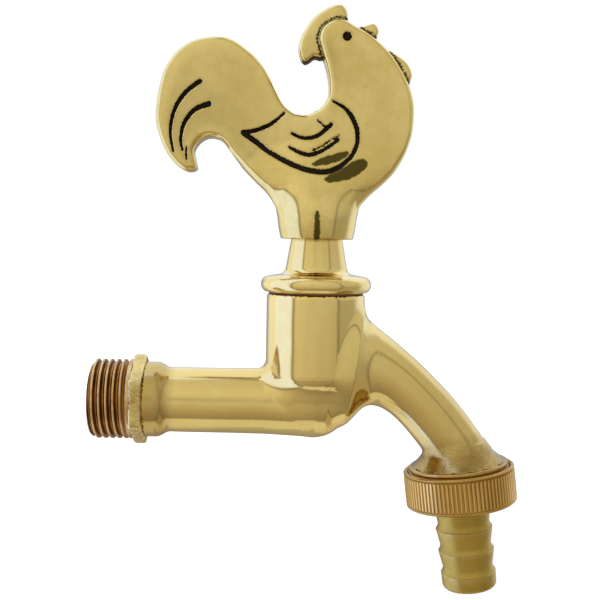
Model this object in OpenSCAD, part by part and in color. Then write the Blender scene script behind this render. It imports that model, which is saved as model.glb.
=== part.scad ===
// Screw-down garden tap with a cast rooster handle and a hose union.
// The origin is on the inlet axis, at the wall side of the cast collar.
// +X leaves the wall, +Z is up. The tap is shown closed, with the union nut tight.

/* [Inlet] */
// Outside diameter of the inlet pipe thread
inlet_thread_d = 20.955; // [20:0.005:22]
// Length of the inlet thread in front of the collar
inlet_thread_len = 10.7; // [9:0.1:14]
// Lead chamfer at the end of the inlet thread
inlet_chamfer = 0.9; // [0.5:0.1:1.5]
// Bore of the inlet arm
inlet_bore_d = 13; // [11:0.5:13.4]
// Width of the hexagonal collar across its flats
collar_af = 21; // [21:0.5:25]
// Thickness of the collar
collar_t = 3.4; // [2.6:0.1:5]
// Rounding of the collar's edges
collar_round = 0.9; // [0.4:0.1:1.2]
// Diameter of the boss behind the collar
boss_d = 19.8; // [19:0.2:21]
// Length of the boss
boss_len = 2.8; // [2:0.2:5]
// Length of the taper from the boss to the arm
boss_taper_len = 3.6; // [2.4:0.2:5]
// Diameter of the inlet arm
arm_d = 17; // [16:0.2:18]
// Distance from the collar to the stem axis
stem_x = 47.6; // [45:0.2:54]

/* [Barrel] */
// Diameter of the barrel
barrel_d = 25.8; // [25.2:0.1:28]
// Height of the barrel's top above the inlet axis
barrel_top = 28.7; // [28:0.1:33]
// Diameter of the round bowl under the barrel
bowl_d = 18.7; // [18:0.1:20]
// Height over which the barrel runs in to the bowl
barrel_foot_h = 8; // [6:0.5:10]
// Fillet between the inlet arm and the barrel
arm_fillet = 2.6; // [1.5:0.1:3.5]
// Diameter of the valve chamber
chamber_d = 18.8; // [18:0.2:20]
// Diameter of the water space under the seat
well_d = 13.6; // [13:0.2:14.4]

/* [Valve] */
// Height of the valve seat above the inlet axis
seat_rise = 9; // [8.6:0.1:10]
// Height of the raised seat ring
seat_ring_h = 1; // [0.6:0.1:1.4]
// Diameter of the seat's hole
seat_hole_d = 9; // [8:0.25:9.5]
// Width of the seat ring's wall
seat_ring_w = 1.9; // [1.2:0.1:2.4]
// Diameter of the rubber valve washer
washer_d = 13.2; // [12.8:0.1:14.5]
// Thickness of the valve washer
washer_t = 2.5; // [2:0.1:3]
// Diameter of the jumper's disc
jumper_d = 13.6; // [13:0.1:15]
// Thickness of the jumper's disc
jumper_t = 2; // [1.6:0.1:2.4]
// Diameter of the jumper's stem
jumper_stem_d = 4.8; // [4:0.1:5.2]
// Length of the jumper's stem above its disc
jumper_stem_len = 5.4; // [4.6:0.1:6]
// Diameter of the stud under the disc
stud_d = 3; // [2.5:0.1:3.5]
// Width of the washer's nut across its flats
washer_nut_af = 5.5; // [5:0.1:6]
// Height of the washer's nut
washer_nut_h = 1.8; // [1.4:0.1:2.2]
// Lift of the valve when the tap is full open
valve_lift = 4; // [2:0.25:4.4]

/* [Bonnet] */
// Thickness of the sealing ring under the bonnet
seal_t = 0.5; // [0.4:0.1:1]
// Outside diameter of the sealing ring
seal_d = 24.8; // [23:0.2:25]
// Diameter of the bonnet's threaded spigot
spigot_d = 21; // [20:0.1:21.4]
// Length of the spigot in the barrel
spigot_len = 9.4; // [8:0.2:10]
// Diameter of the bonnet's round flange
flange_d = 29; // [28:0.2:31]
// Height of the flange's rounded bead
bead_h = 3.9; // [3.4:0.1:4.4]
// Diameter of the neck at its foot
neck_foot_d = 15.9; // [15:0.1:17]
// Diameter of the neck where the handle meets it
neck_d = 13.4; // [12.6:0.1:13.6]
// Fillet at the foot of the neck
neck_fillet = 2.2; // [1.5:0.1:2.6]
// Height of the bonnet above the sealing ring
bonnet_h = 19; // [18.4:0.1:22]

/* [Spindle] */
// Diameter of the spindle's plain stem
stem_d = 8; // [7.4:0.1:8.4]
// Diameter of the spindle's thread
spindle_thread_d = 12; // [11:0.1:12.4]
// Length of the spindle's thread
spindle_thread_len = 9.8; // [8:0.1:10.4]
// Width of the square that drives the spindle
square_w = 6; // [5.4:0.1:6.4]
// Length of the square above the bonnet
square_len = 8; // [6.5:0.1:8.6]
// Thickness of the rubber stem rings
stem_ring_t = 1.04; // [0.9:0.02:1.2]
// Height of the lower stem ring above the bonnet's foot
lower_ring_h = 5.8; // [5.4:0.1:6.6]
// Distance between the two stem rings
ring_spacing = 6; // [4:0.2:7]

/* [Handle] */
// How far the handle's socket covers the neck
socket_cover = 5.2; // [4.8:0.1:6]
// Diameter of the socket at its rim
socket_d = 19.1; // [18.4:0.1:20.4]
// Diameter of the socket where the rooster begins
socket_top_d = 21.2; // [20.4:0.1:22]
// Height of the turned part of the socket
socket_h = 7; // [6:0.2:8]
// Size of the rooster's outline, as a share of the drawn one
rooster_scale = 1; // [0.94:0.01:1.1]
// Thickness of the rooster's body
rooster_t = 8.6; // [7.6:0.2:10]
// Thickness of the comb
comb_t = 5.6; // [4.6:0.2:6.4]
// Thickness of the beak and the wattle
beak_t = 4.4; // [4:0.2:5.2]
// Rounding of the rooster's edges
edge_round = 1.6; // [1:0.1:1.8]
// Depth of the carved strokes
carve_depth = 0.6; // [0.4:0.1:0.9]
// Diameter of the drilled eye
eye_d = 2.3; // [1.8:0.1:2.8]
// Diameter of the grub screw in the socket
grub_d = 4; // [3:0.2:4.6]
// Length of the grub screw
grub_len = 5; // [4:0.2:5.6]

/* [Outlet] */
// Distance from the stem axis to the outlet
spout_reach = 38.7; // [37:0.1:44]
// Drop from the inlet axis to the top of the union nut
outlet_drop = 16.6; // [15.5:0.1:20]
// Lean of the outlet away from the wall
outlet_tilt = 7; // [4:0.5:10]
// Outside diameter of the outlet thread
outlet_thread_d = 26.441; // [26:0.001:27]
// Length of the outlet thread
outlet_thread_len = 4.4; // [4:0.1:5]
// Bore at the outlet
outlet_bore_d = 15.6; // [14:0.2:17]
// Diameter of the flange above the outlet thread
outlet_flange_d = 26; // [25.6:0.1:26.2]
// Height of the spout at the barrel, its flare left out
spout_root_d = 14; // [13:0.1:15]
// Diameter of the spout above the outlet
spout_end_d = 15.2; // [14.4:0.1:16]
// Wall of the spout
spout_wall = 2.1; // [1.6:0.1:2.4]

/* [Union] */
// Outside diameter of the union nut
nut_d = 29.2; // [28.8:0.1:31]
// Number of ridges round the nut
ridge_count = 84; // [60:1:96]
// Depth of the ridges
ridge_depth = 0.35; // [0.2:0.05:0.45]
// Thickness of the nut's lip
lip_t = 1.7; // [1.4:0.1:2]
// Thickness of the flat hose gasket
gasket_t = 1.8; // [1.4:0.1:2]
// Thickness of the hose tail's flange
tail_flange_t = 1.5; // [1.2:0.1:1.8]
// Diameter of the hose tail's neck
tail_neck_d = 14; // [13:0.1:14.4]
// Bore of the hose tail
tail_bore_d = 10.4; // [9:0.2:11]
// Diameter over the first barb
barb_d = 15; // [14.4:0.1:15.6]
// Distance from the nut to the first barb
first_barb = 6.8; // [5:0.1:8]
// Distance between barbs
barb_pitch = 5.95; // [5:0.05:7]
// Number of barbs
barb_count = 3; // [2:1:4]
// Length of the end section below the last barb
tail_end_len = 4.3; // [3:0.1:7]

/* [Hidden] */
$fn = 72;

// Clearances that the fits share, all on the radius
run_gap = 0.06;
thread_gap = 0.1;
loose_gap = 0.25;
face_gap = 0.05;
over = 0.01;

// Colours of the finishes
POLISHED = [0.83, 0.68, 0.36];
SATIN = [0.68, 0.50, 0.24];
OLIVE = [0.68, 0.58, 0.26];
PLAIN_BRASS = [0.74, 0.62, 0.36];
RUBBER = [0.10, 0.10, 0.10];
FIBRE = [0.25, 0.14, 0.08];

// Heights along the stem axis, measured from the inlet axis
bonnet_z = barrel_top + seal_t;
bonnet_top = bonnet_z + bonnet_h;
spigot_z = barrel_top - spigot_len;
stem_shoulder = bonnet_z + 1.4;
jumper_z = seat_rise + washer_t;
spindle_z = jumper_z + jumper_t + face_gap;
spindle_thread_top = stem_shoulder - valve_lift - 0.2;
square_z = bonnet_top + 0.4;
handle_z = bonnet_top - socket_cover;
screw_z = square_z + square_len / 2;

// Joint between the jumper and the spindle
waist_len = 1.6;
lip_len = 1.45;
jumper_waist_r = jumper_stem_d / 2 - 0.5;
jumper_gap = 0.1;

// Groove of a stem ring
groove_r = stem_d / 2 - stem_ring_t;
groove_w = stem_ring_t + 0.3;

// Places along the outlet axis, measured down from the nut's top
gasket_s = 0.2 + outlet_thread_len;
tail_s = gasket_s + gasket_t;
tail_flange_end = tail_s + tail_flange_t;
nut_h = tail_flange_end + lip_t;
tail_len = nut_h + first_barb + (barb_count - 1) * barb_pitch + tail_end_len;
outlet = [stem_x + spout_reach, -outlet_drop];

// Ease from 0 to 1 with level ends
function ease(t) = (1 - cos(180 * t)) / 2;

// Points of an arc round [cx, cy]
function arc(cx, cy, r, from, to, steps = 8) =
    [for (i = [0:steps]) let (a = from + (to - from) * i / steps) [cx + r * cos(a), cy + r * sin(a)]];

// One point of a curve that runs through b and c, with a and d as neighbours
function through(a, b, c, d, t) =
    0.5 * (2 * b + (c - a) * t + (2 * a - 5 * b + 4 * c - d) * t * t + (3 * b - a - 3 * c + d) * t * t * t);

// A closed smooth outline through key points
function closed_curve(p, steps) = let (n = len(p)) [
    for (i = [0:n - 1], k = [0:steps - 1])
        through(p[(i + n - 1) % n], p[i], p[(i + 1) % n], p[(i + 2) % n], k / steps)
];

// An open smooth line through key points
function open_curve(p, steps) = let (n = len(p)) concat([
    for (i = [0:n - 2], k = [0:steps - 1])
        through(p[max(i - 1, 0)], p[i], p[i + 1], p[min(i + 2, n - 1)], k / steps)
], [p[n - 1]]);

// Cubic curve from p0 to p3, and its unit direction
function cubic(p0, p1, p2, p3, t) = let (s = 1 - t)
    s * s * s * p0 + 3 * s * s * t * p1 + 3 * s * t * t * p2 + t * t * t * p3;
function cubic_dir(p0, p1, p2, p3, t) = let (
    s = 1 - t,
    v = s * s * (p1 - p0) + 2 * s * t * (p2 - p1) + t * t * (p3 - p2)
) v / norm(v);

// Faces of a closed skin over rings that all have the same number of sides
function skin_faces(rings, sides) = concat(
    [[for (i = [0:sides - 1]) i]],
    [for (r = [0:rings - 2], i = [0:sides - 1]) let (
        a = r * sides + i,
        b = r * sides + (i + 1) % sides
    ) [b, a, a + sides]],
    [for (r = [0:rings - 2], i = [0:sides - 1]) let (
        a = r * sides + i,
        b = r * sides + (i + 1) % sides
    ) [b, a + sides, b + sides]],
    [[for (i = [0:sides - 1]) rings * sides - 1 - i]]
);

module skin(rings) {
    sides = len(rings[0]);
    polyhedron([for (r = rings) each r], skin_faces(len(rings), sides));
}

// Turn the local Z axis on to the inlet axis
module along_inlet() {
    rotate([0, 90, 0]) children();
}

// Place parts on the stem axis
module on_stem(z = 0) {
    translate([stem_x, 0, z]) children();
}

// Place parts on the leaning outlet axis, with local Z running down from the nut's top
module on_outlet(s = 0) {
    translate([outlet[0], 0, outlet[1]])
        rotate([0, 180 - outlet_tilt, 0])
            translate([0, 0, s])
                children();
}

// A flat ring or washer
module ring(outer_d, inner_d, h) {
    difference() {
        cylinder(h = h, d = outer_d);
        translate([0, 0, -1]) cylinder(h = h + 2, d = inner_d);
    }
}

// Centreline of the spout: it leaves the barrel nearly level and droops to the outlet
spout_from = [stem_x + 10.1, seat_rise + 0.5];
spout_to = outlet + [1.5, 1.6];
spout_c1 = spout_from + 5 * [cos(10), -sin(10)];
spout_c2 = spout_to - 30 * [cos(56), -sin(56)];
spout_flare = 8.4;
spout_flare_len = 0.72;

function spout_point(t) = cubic(spout_from, spout_c1, spout_c2, spout_to, t);
function spout_dir(t) = cubic_dir(spout_from, spout_c1, spout_c2, spout_to, t);
function spout_r(t) = (spout_root_d + (spout_end_d - spout_root_d) * t) / 2;
function flare_at(t) = spout_flare * pow(max(1 - t / spout_flare_len, 0), 2);

// One ring of a bent tube round centre c, square to direction d, with half height a and half width b
function tube_ring(c, d, a, b, sides) = [
    for (i = [0:sides - 1]) let (q = -360 * i / sides)
        [c[0] - d[1] * a * cos(q), b * sin(q), c[1] + d[0] * a * cos(q)]
];

module spout_outside() {
    sides = 28;
    steps = 18;
    root = spout_point(0) - 7 * spout_dir(0);
    skin(concat(
        [tube_ring(root, spout_dir(0), 0.75 * (spout_r(0) + spout_flare), 0.6 * spout_root_d, sides)],
        [for (k = [0:steps]) let (t = k / steps)
            tube_ring(spout_point(t), spout_dir(t), spout_r(t) + flare_at(t),
                      spout_r(t) + 0.4 * flare_at(t), sides)]
    ));
}

// Way for the water, from the valve chamber along the spout and down into the outlet's bore
module spout_waterway() {
    sides = 16;
    steps = 9;
    mouth = [stem_x + chamber_d / 2 - 2.4, seat_rise + 5.5];
    mouth_r = 4.6;
    down = [sin(outlet_tilt), -cos(outlet_tilt)];
    skin(concat(
        [tube_ring(mouth, [1, 0], mouth_r, mouth_r, sides)],
        [for (k = [0:steps]) let (t = 0.16 + 0.64 * k / steps, r = spout_r(t) - spout_wall)
            tube_ring(spout_point(t), spout_dir(t), r, r, sides)],
        [tube_ring(outlet - 1.2 * down, down, tail_bore_d / 2, tail_bore_d / 2, sides)]
    ));
}

// Radius round the stem axis, from the bowl out to the barrel
function wall_r(z) = (bowl_d + (barrel_d - bowl_d) * ease(min(max(z / barrel_foot_h, 0), 1))) / 2;

// Fillet over the top of the arm where it meets the barrel, dying out down both sides
module arm_saddle() {
    sides = 36;
    steps = 5;
    arm_r = arm_d / 2 + 0.05;
    function fillet(q) = max(arm_fillet * cos(q), 0.1);
    function wall_x(r, q) = stem_x + 0.1 - sqrt(pow(wall_r(r * cos(q)), 2) - pow(r * sin(q), 2));
    function slice(x, r) = [for (i = [0:sides - 1]) let (q = -360 * i / sides) [x, r * sin(q), r * cos(q)]];
    skin(concat(
        [slice(stem_x - barrel_d / 2 - arm_fillet, 0.4 * arm_r)],
        [for (k = [0:steps]) let (a = 90 * k / steps)
            [for (i = [0:sides - 1]) let (q = -360 * i / sides, r = arm_r + fillet(q) * (1 - cos(a)))
                [wall_x(r, q) - fillet(q) * (1 - sin(a)), r * sin(q), r * cos(q)]]],
        [slice(stem_x, 0.4 * arm_r)]
    ));
}

// Hexagon with worn corners and rounded edges
module collar() {
    worn_r = collar_af / 2 / cos(30) - 0.15;
    along_inlet() intersection() {
        cylinder(h = collar_t, d = collar_af / cos(30), $fn = 6);
        rotate_extrude() polygon(concat(
            [[0, 0]],
            arc(worn_r - collar_round, collar_round, collar_round, -90, 0, 5),
            arc(worn_r - collar_round, collar_t - collar_round, collar_round, 0, 90, 5),
            [[0, collar_t]]
        ));
    }
}

module inlet_arm() {
    thread_r = inlet_thread_d / 2;
    boss_r = boss_d / 2;
    arm_r = arm_d / 2;
    boss_z = collar_t - over;
    taper_z = boss_z + boss_len;
    barrel_face = stem_x - barrel_d / 2;
    along_inlet() {
        translate([0, 0, -inlet_thread_len])
            cylinder(h = inlet_chamfer, r1 = thread_r - inlet_chamfer, r2 = thread_r);
        translate([0, 0, inlet_chamfer - inlet_thread_len])
            cylinder(h = inlet_thread_len - inlet_chamfer + over, r = thread_r);
        rotate_extrude() polygon(concat(
            [[0, boss_z], [boss_r, boss_z]],
            [for (k = [0:6]) [boss_r + (arm_r - boss_r) * ease(k / 6), taper_z + boss_taper_len * k / 6]],
            [[arm_r + 0.15, barrel_face], [bowl_d / 2, stem_x], [0, stem_x]]
        ));
    }
}

module barrel_outside() {
    barrel_r = barrel_d / 2;
    on_stem() {
        sphere(d = bowl_d);
        rotate_extrude() polygon(concat(
            [[0, 0]],
            [for (k = [0:6]) let (z = barrel_foot_h * k / 6) [wall_r(z), z]],
            [[barrel_r, barrel_top - 0.3], [barrel_r - 0.3, barrel_top], [0, barrel_top]]
        ));
    }
}

// Neck of the outlet, flaring out to a thin flange above the outlet thread
module outlet_end() {
    top_s = -6.2;
    flange_s = -0.5;
    top_r = spout_end_d / 2;
    flange_r = outlet_flange_d / 2;
    on_outlet() rotate_extrude() polygon(concat(
        [[0, top_s]],
        [for (k = [0:6]) let (u = k / 6)
            [top_r + (flange_r - top_r) * (0.75 * u + 0.25 * u * u * u), top_s + (flange_s - top_s) * u]],
        [[flange_r, 0.2], [outlet_thread_d / 2, 0.2], [outlet_thread_d / 2, gasket_s], [0, gasket_s]]
    ));
}

module tap_body() {
    chamber_floor = seat_rise - seat_ring_h;
    spigot_r = spigot_d / 2 + thread_gap;
    color(POLISHED) difference() {
        union() {
            inlet_arm();
            collar();
            barrel_outside();
            arm_saddle();
            spout_outside();
            outlet_end();
        }
        along_inlet() translate([0, 0, -inlet_thread_len - 1])
            cylinder(h = inlet_thread_len + 1 + stem_x, d = inlet_bore_d);
        on_stem() sphere(d = well_d);
        on_stem() cylinder(h = seat_rise + 1, d = seat_hole_d);
        on_stem(chamber_floor) difference() {
            cylinder(h = spigot_z - 0.6 - chamber_floor, d = chamber_d);
            translate([0, 0, -1])
                cylinder(h = 1 + seat_ring_h, d = seat_hole_d + 2 * seat_ring_w);
        }
        on_stem(spigot_z - 0.6 - over) cylinder(h = spigot_len + 2, r = spigot_r);
        spout_waterway();
        on_outlet(0.2 - spout_wall) cylinder(h = outlet_thread_len + spout_wall + 1, d = outlet_bore_d);
    }
}

module bonnet() {
    rim_r = flange_d / 2;
    bead_r = 2.2;
    bead_y = bead_h / 2;
    foot_r = neck_foot_d / 2;
    foot_y = bead_h + 0.6;
    shown_h = bonnet_h - socket_cover;
    color(POLISHED) on_stem(bonnet_z) difference() {
        union() {
            translate([0, 0, -spigot_len - seal_t]) cylinder(h = spigot_len + seal_t + over, d = spigot_d);
            rotate_extrude() polygon(concat(
                [[0, 0]],
                arc(rim_r - bead_r, bead_y, bead_r, -asin(bead_y / bead_r), asin(bead_y / bead_r), 10),
                arc(foot_r + neck_fillet, foot_y + neck_fillet, neck_fillet, 270, 185, 6),
                [[neck_d / 2, shown_h], [neck_d / 2 - 0.1, bonnet_h - 0.5],
                 [neck_d / 2 - 0.6, bonnet_h], [0, bonnet_h]]
            ));
        }
        translate([0, 0, -spigot_len - 2])
            cylinder(h = spigot_len + 2 + stem_shoulder - bonnet_z, d = spindle_thread_d + 2 * thread_gap);
        cylinder(h = bonnet_h + 1, d = stem_d + 2 * run_gap);
    }
}

module bonnet_seal() {
    color(FIBRE) on_stem(barrel_top) ring(seal_d, spigot_d + 2 * thread_gap, seal_t);
}

module spindle() {
    foot_d = spindle_thread_d - 2.8;
    thread_z = spindle_thread_top - spindle_thread_len;
    color(PLAIN_BRASS) on_stem() difference() {
        union() {
            translate([0, 0, spindle_z]) cylinder(h = thread_z - spindle_z + over, d = foot_d);
            translate([0, 0, thread_z]) cylinder(h = spindle_thread_len, d = spindle_thread_d);
            translate([0, 0, spindle_thread_top - over])
                cylinder(h = square_z - spindle_thread_top + over, d = stem_d);
            intersection() {
                translate([-square_w / 2, -square_w / 2, square_z - over])
                    cube([square_w, square_w, square_len]);
                translate([0, 0, square_z - 1]) cylinder(h = square_len + 2, d = stem_d);
            }
        }
        translate([0, 0, spindle_z - 1]) cylinder(h = 1 + lip_len + over, r = jumper_waist_r + jumper_gap);
        translate([0, 0, spindle_z + lip_len])
            cylinder(h = jumper_stem_len - lip_len + 0.4, d = jumper_stem_d + 2 * jumper_gap);
        for (h = [lower_ring_h, lower_ring_h + ring_spacing])
            translate([0, 0, bonnet_z + h - groove_w / 2]) ring(stem_d + 2, 2 * groove_r, groove_w);
    }
}

module stem_ring(h) {
    color(RUBBER) on_stem(bonnet_z + h) rotate_extrude()
        translate([groove_r + stem_ring_t / 2 + 0.02, 0]) circle(d = stem_ring_t);
}

module lower_stem_ring() {
    stem_ring(lower_ring_h);
}

module upper_stem_ring() {
    stem_ring(lower_ring_h + ring_spacing);
}

module jumper() {
    stud_len = washer_t + washer_nut_h + 0.6;
    color(PLAIN_BRASS) on_stem(jumper_z) {
        translate([0, 0, -stud_len]) cylinder(h = stud_len + over, d = stud_d);
        cylinder(h = jumper_t, d = jumper_d);
        translate([0, 0, jumper_t - over]) cylinder(h = waist_len + 2 * over, r = jumper_waist_r);
        translate([0, 0, jumper_t + waist_len])
            cylinder(h = jumper_stem_len - waist_len, d = jumper_stem_d);
    }
}

module valve_washer() {
    color(RUBBER) on_stem(seat_rise) ring(washer_d, stud_d + 2 * face_gap, washer_t);
}

module washer_nut() {
    color(PLAIN_BRASS) on_stem(seat_rise - washer_nut_h) difference() {
        cylinder(h = washer_nut_h, d = washer_nut_af / cos(30), $fn = 6);
        translate([0, 0, -1]) cylinder(h = washer_nut_h + 2, d = stud_d + 2 * face_gap);
    }
}

// Key points of the rooster, from the stem axis and the socket's rim
BREAST = [[13.5, 11.8], [19.1, 17.1], [22.4, 22.4], [24.2, 28.5], [24.3, 34.6], [22.6, 40.6],
          [18.9, 46.9], [14.5, 51.3], [9.4, 54.4]];
HEAD = [[6.6, 56.1], [3.4, 56.3], [0.5, 54.3], [-0.4, 51.2]];
NAPE = [[0.7, 47], [2.1, 41.7], [2.2, 36.8]];
SADDLE = [[0.4, 33.8], [-3, 32], [-6.7, 32.4], [-9.7, 35.1], [-12.8, 41]];
TAIL = [[-16.9, 46.6], [-21.9, 50.3], [-27.4, 51.6], [-33.1, 50.3], [-38.1, 46.3], [-41.2, 39.5],
        [-42.1, 31], [-40.2, 23.4], [-36.7, 18.5]];
TAIL_TIP = [[-33.6, 16.9], [-31.5, 17.7], [-32.3, 21]];
HOOK = [[-31.4, 24.3], [-27.9, 26], [-24.3, 24.3]];
BELLY = [[-19.2, 18.4], [-13.3, 12.7], [-11.1, 8.4], [-9, 6], [9, 6], [11, 8.4]];
COMB = [[6.9, 56], [6.8, 58.8], [5.5, 60.4], [2.7, 60.1], [-1.5, 57.4], [-4.7, 52.9], [-5.7, 48.6],
        [-4.6, 45.3], [-1.5, 46.6], [0.4, 46.4], [3, 49], [5, 53]];
BEAK = [[9.3, 54.6], [13.5, 55.8], [14.9, 54.3], [14.5, 51.6], [11, 49], [7.5, 51.5]];
WATTLE = [[17.4, 49], [21.2, 47.2], [23.6, 44.3], [23.5, 41.2], [22, 38.5], [18, 41], [15.5, 46]];
EYE = [6.8, 51.8];

// Carved strokes: key points, then the width at the start, the middle and the end
STROKES = [
    [[[-30.7, 39.8], [-34.2, 37.1], [-37.1, 32.7], [-38.2, 27], [-37.4, 21.9]], [0.9, 0.85, 0.25]],
    [[[-28.4, 34.1], [-32.1, 32.5], [-34.7, 29], [-35.5, 25], [-35, 22.2]], [1.3, 0.9, 0.3]],
    [[[-34, 23.1], [-34.1, 21.5], [-34, 19.9]], [0.3, 0.45, 0.3]],
    [[[-8.9, 32.2], [-12.1, 29.4], [-15.8, 27.7], [-19.4, 26.9]], [0.25, 0.9, 1.2]],
    [[[-19.4, 26.9], [-14, 23.5], [-9, 20], [-4.7, 18], [0.3, 17.2], [5, 18.3], [8.3, 20.9],
      [10.2, 25], [9.9, 29.4], [7.1, 33.1], [3.3, 35.1]], [1.2, 1, 0.2]],
    [[[-7, 27], [-4.9, 26], [-2.5, 25.8], [-0.3, 26.5], [1.4, 27.8], [3.1, 29.4]], [0.6, 0.9, 0.9]],
    [[[-7.5, 23.4], [-5.7, 22.4], [-3.5, 21.6], [-1.6, 21.6], [0.4, 22.3], [2.5, 23.6], [5, 25.6]],
     [0.6, 0.95, 0.7]],
    [[[-1.6, 22.5], [0.8, 23.6], [2.9, 25], [5.3, 26.3]], [0.2, 0.35, 0.3]]
];

// Outline of one stroke, both sides of its smooth middle line
module stroke(points, widths) {
    line = open_curve(points, 3);
    n = len(line);
    function side_dir(i) = let (v = line[min(i + 1, n - 1)] - line[max(i - 1, 0)]) [-v[1], v[0]] / norm(v);
    function half_w(i) = let (t = 2 * i / (n - 1))
        (t < 1 ? widths[0] + (widths[1] - widths[0]) * t : widths[1] + (widths[2] - widths[1]) * (t - 1)) / 2;
    polygon(concat(
        [for (i = [0:n - 1]) line[i] + half_w(i) * side_dir(i)],
        [for (i = [n - 1:-1:0]) line[i] - half_w(i) * side_dir(i)]
    ));
}

// Stand an outline up in the rooster's plane, centred on it, t thick
module upright(t) {
    rotate([90, 0, 0]) translate([0, 0, -t / 2]) linear_extrude(t) children();
}

// Cast plate with rounded edges from a closed line of key points
module cast_plate(points, t, r, steps) {
    minkowski() {
        upright(t - 2 * r) offset(delta = -r) polygon(closed_curve(rooster_scale * points, steps));
        sphere(r = r, $fn = 12);
    }
}

// Sections of the root that turns the round socket into the flat body:
// height above the rim, half width, half thickness
ROOT = concat(
    [[socket_h - 0.6, socket_top_d / 2 - 0.1, socket_top_d / 2 - 0.2]],
    rooster_scale * [[9.5, 11.2, 9.7], [13.5, 14.4, 7.6], [18.5, 19.2, 5.6], [24, 22.4, 4.6], [30, 23, 4.1]]
);

module rooster_root(inset) {
    sides = 28;
    skin([for (row = open_curve(ROOT, 3))
        [for (i = [0:sides - 1]) let (q = 360 * i / sides)
            [(row[1] - inset) * cos(q), (row[2] - inset) * sin(q), row[0]]]]);
}

// The rooster with its thinner comb, beak and wattle, its eye and its carving, on both faces
module rooster() {
    outline = concat(BREAST, HEAD, NAPE, SADDLE, TAIL, TAIL_TIP, HOOK, BELLY);
    difference() {
        union() {
            cast_plate(outline, rooster_t, edge_round, 3);
            rooster_root(0);
            cast_plate(COMB, comb_t, edge_round, 3);
            cast_plate(BEAK, beak_t, 0.6 * edge_round, 2);
            cast_plate(WATTLE, beak_t, 0.8 * edge_round, 2);
        }
        difference() {
            upright(3 * socket_top_d) for (s = STROKES) stroke(rooster_scale * s[0], s[1]);
            upright(rooster_t - 2 * carve_depth) square(300, center = true);
            rooster_root(carve_depth);
        }
        difference() {
            upright(2 * rooster_t) translate(rooster_scale * EYE) circle(d = eye_d, $fn = 16);
            upright(rooster_t - 4 * carve_depth) translate(rooster_scale * EYE) circle(d = 2 * eye_d);
        }
    }
}

module rooster_handle() {
    rim_r = socket_d / 2;
    top_r = socket_top_d / 2;
    hole_w = square_w + 2 * face_gap;
    seat_h = square_z - handle_z;
    color(POLISHED) on_stem(handle_z) difference() {
        union() {
            rooster();
            rotate_extrude() polygon([
                [0, 0], [rim_r - 0.3, 0], [rim_r, 0.4], [rim_r + 0.55 * (top_r - rim_r), socket_h * 0.45],
                [top_r, socket_h], [0, socket_h]
            ]);
        }
        translate([0, 0, -1]) cylinder(h = 1 + seat_h, d = neck_d + 2 * loose_gap);
        translate([-hole_w / 2, -hole_w / 2, 0]) cube([hole_w, hole_w, seat_h + square_len + 0.4]);
        translate([0, 0, screw_z - handle_z]) rotate([-90, 0, 0])
            cylinder(h = top_r + 2, d = grub_d + 2 * face_gap);
    }
}

module handle_screw() {
    socket_af = grub_d / 2;
    color(PLAIN_BRASS) on_stem(screw_z) rotate([-90, 0, 0]) translate([0, 0, square_w / 2 + face_gap])
        difference() {
            cylinder(h = grub_len, d = grub_d);
            translate([0, 0, grub_len / 2]) cylinder(h = grub_len, d = socket_af / cos(30), $fn = 6);
        }
}

module hose_gasket() {
    color(RUBBER) on_outlet(gasket_s) ring(outlet_thread_d - 0.8, tail_bore_d + 2, gasket_t);
}

// Turned tail: a flange that the nut holds, a neck, and barbs that point away from the hose's end
module hose_tail() {
    barb_r = barb_d / 2;
    barb_step = 0.12;
    shoulder = 1.6;
    root_depth = 0.68;
    end_r = barb_r - barb_count * barb_step;
    end_round = 1.4;
    bore_r = tail_bore_d / 2;
    flange_r = outlet_thread_d / 2 - 0.4;
    color(OLIVE) on_outlet() rotate_extrude() polygon(concat(
        [[bore_r, tail_s], [flange_r, tail_s], [flange_r, tail_flange_end],
         [tail_neck_d / 2, tail_flange_end], [tail_neck_d / 2, nut_h + first_barb - 2.6]],
        [for (k = [0:barb_count - 1], j = [0:1]) let (
            s = nut_h + first_barb + k * barb_pitch,
            r = barb_r - k * barb_step
        ) j == 0 ? [r - root_depth, s - shoulder] : [r, s]],
        arc(end_r - end_round, tail_len - end_round, end_round, 0, 90, 5),
        [[bore_r, tail_len]]
    ));
}

// Ridged ring: each ridge has a flat crest between two sharp valleys
module ridged_disc(outer_r, count, depth) {
    polygon([for (i = [0:count - 1], j = [0:2]) let (
        a = 360 * (i + [0, 0.3, 0.7][j]) / count,
        r = outer_r - (j == 0 ? depth : 0)
    ) [r * cos(a), r * sin(a)]]);
}

module union_nut() {
    outer_r = nut_d / 2;
    bore_r = outlet_thread_d / 2 + thread_gap;
    edge = 0.5;
    color(SATIN) on_outlet() difference() {
        intersection() {
            linear_extrude(nut_h) ridged_disc(outer_r, ridge_count, ridge_depth);
            rotate_extrude() polygon([
                [0, 0], [outer_r - edge, 0], [outer_r, edge], [outer_r, nut_h - edge],
                [outer_r - edge, nut_h], [0, nut_h]
            ]);
        }
        translate([0, 0, -over]) cylinder(h = edge, r1 = bore_r + edge, r2 = bore_r);
        translate([0, 0, -1]) cylinder(h = tail_flange_end + 1, r = bore_r);
        cylinder(h = nut_h + 1, d = barb_d + 2 * thread_gap);
    }
}

tap_body();
bonnet();
bonnet_seal();
spindle();
upper_stem_ring();
lower_stem_ring();
jumper();
valve_washer();
washer_nut();
rooster_handle();
handle_screw();
hose_gasket();
hose_tail();
union_nut();
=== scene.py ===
"""Looks of a screw-down garden tap with a cast rooster handle and a hose union.

Sizes are in millimetres in the part's own frame: the origin is on the inlet axis at the collar,
+X leaves the wall and +Z is up. Every mesh becomes metres when it is placed.
"""

import logging
import math
from collections.abc import Callable, Sequence
from dataclasses import dataclass, field, replace
from enum import Enum

import bmesh
import bpy
import numpy as np
from mathutils import Matrix, Vector

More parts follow.
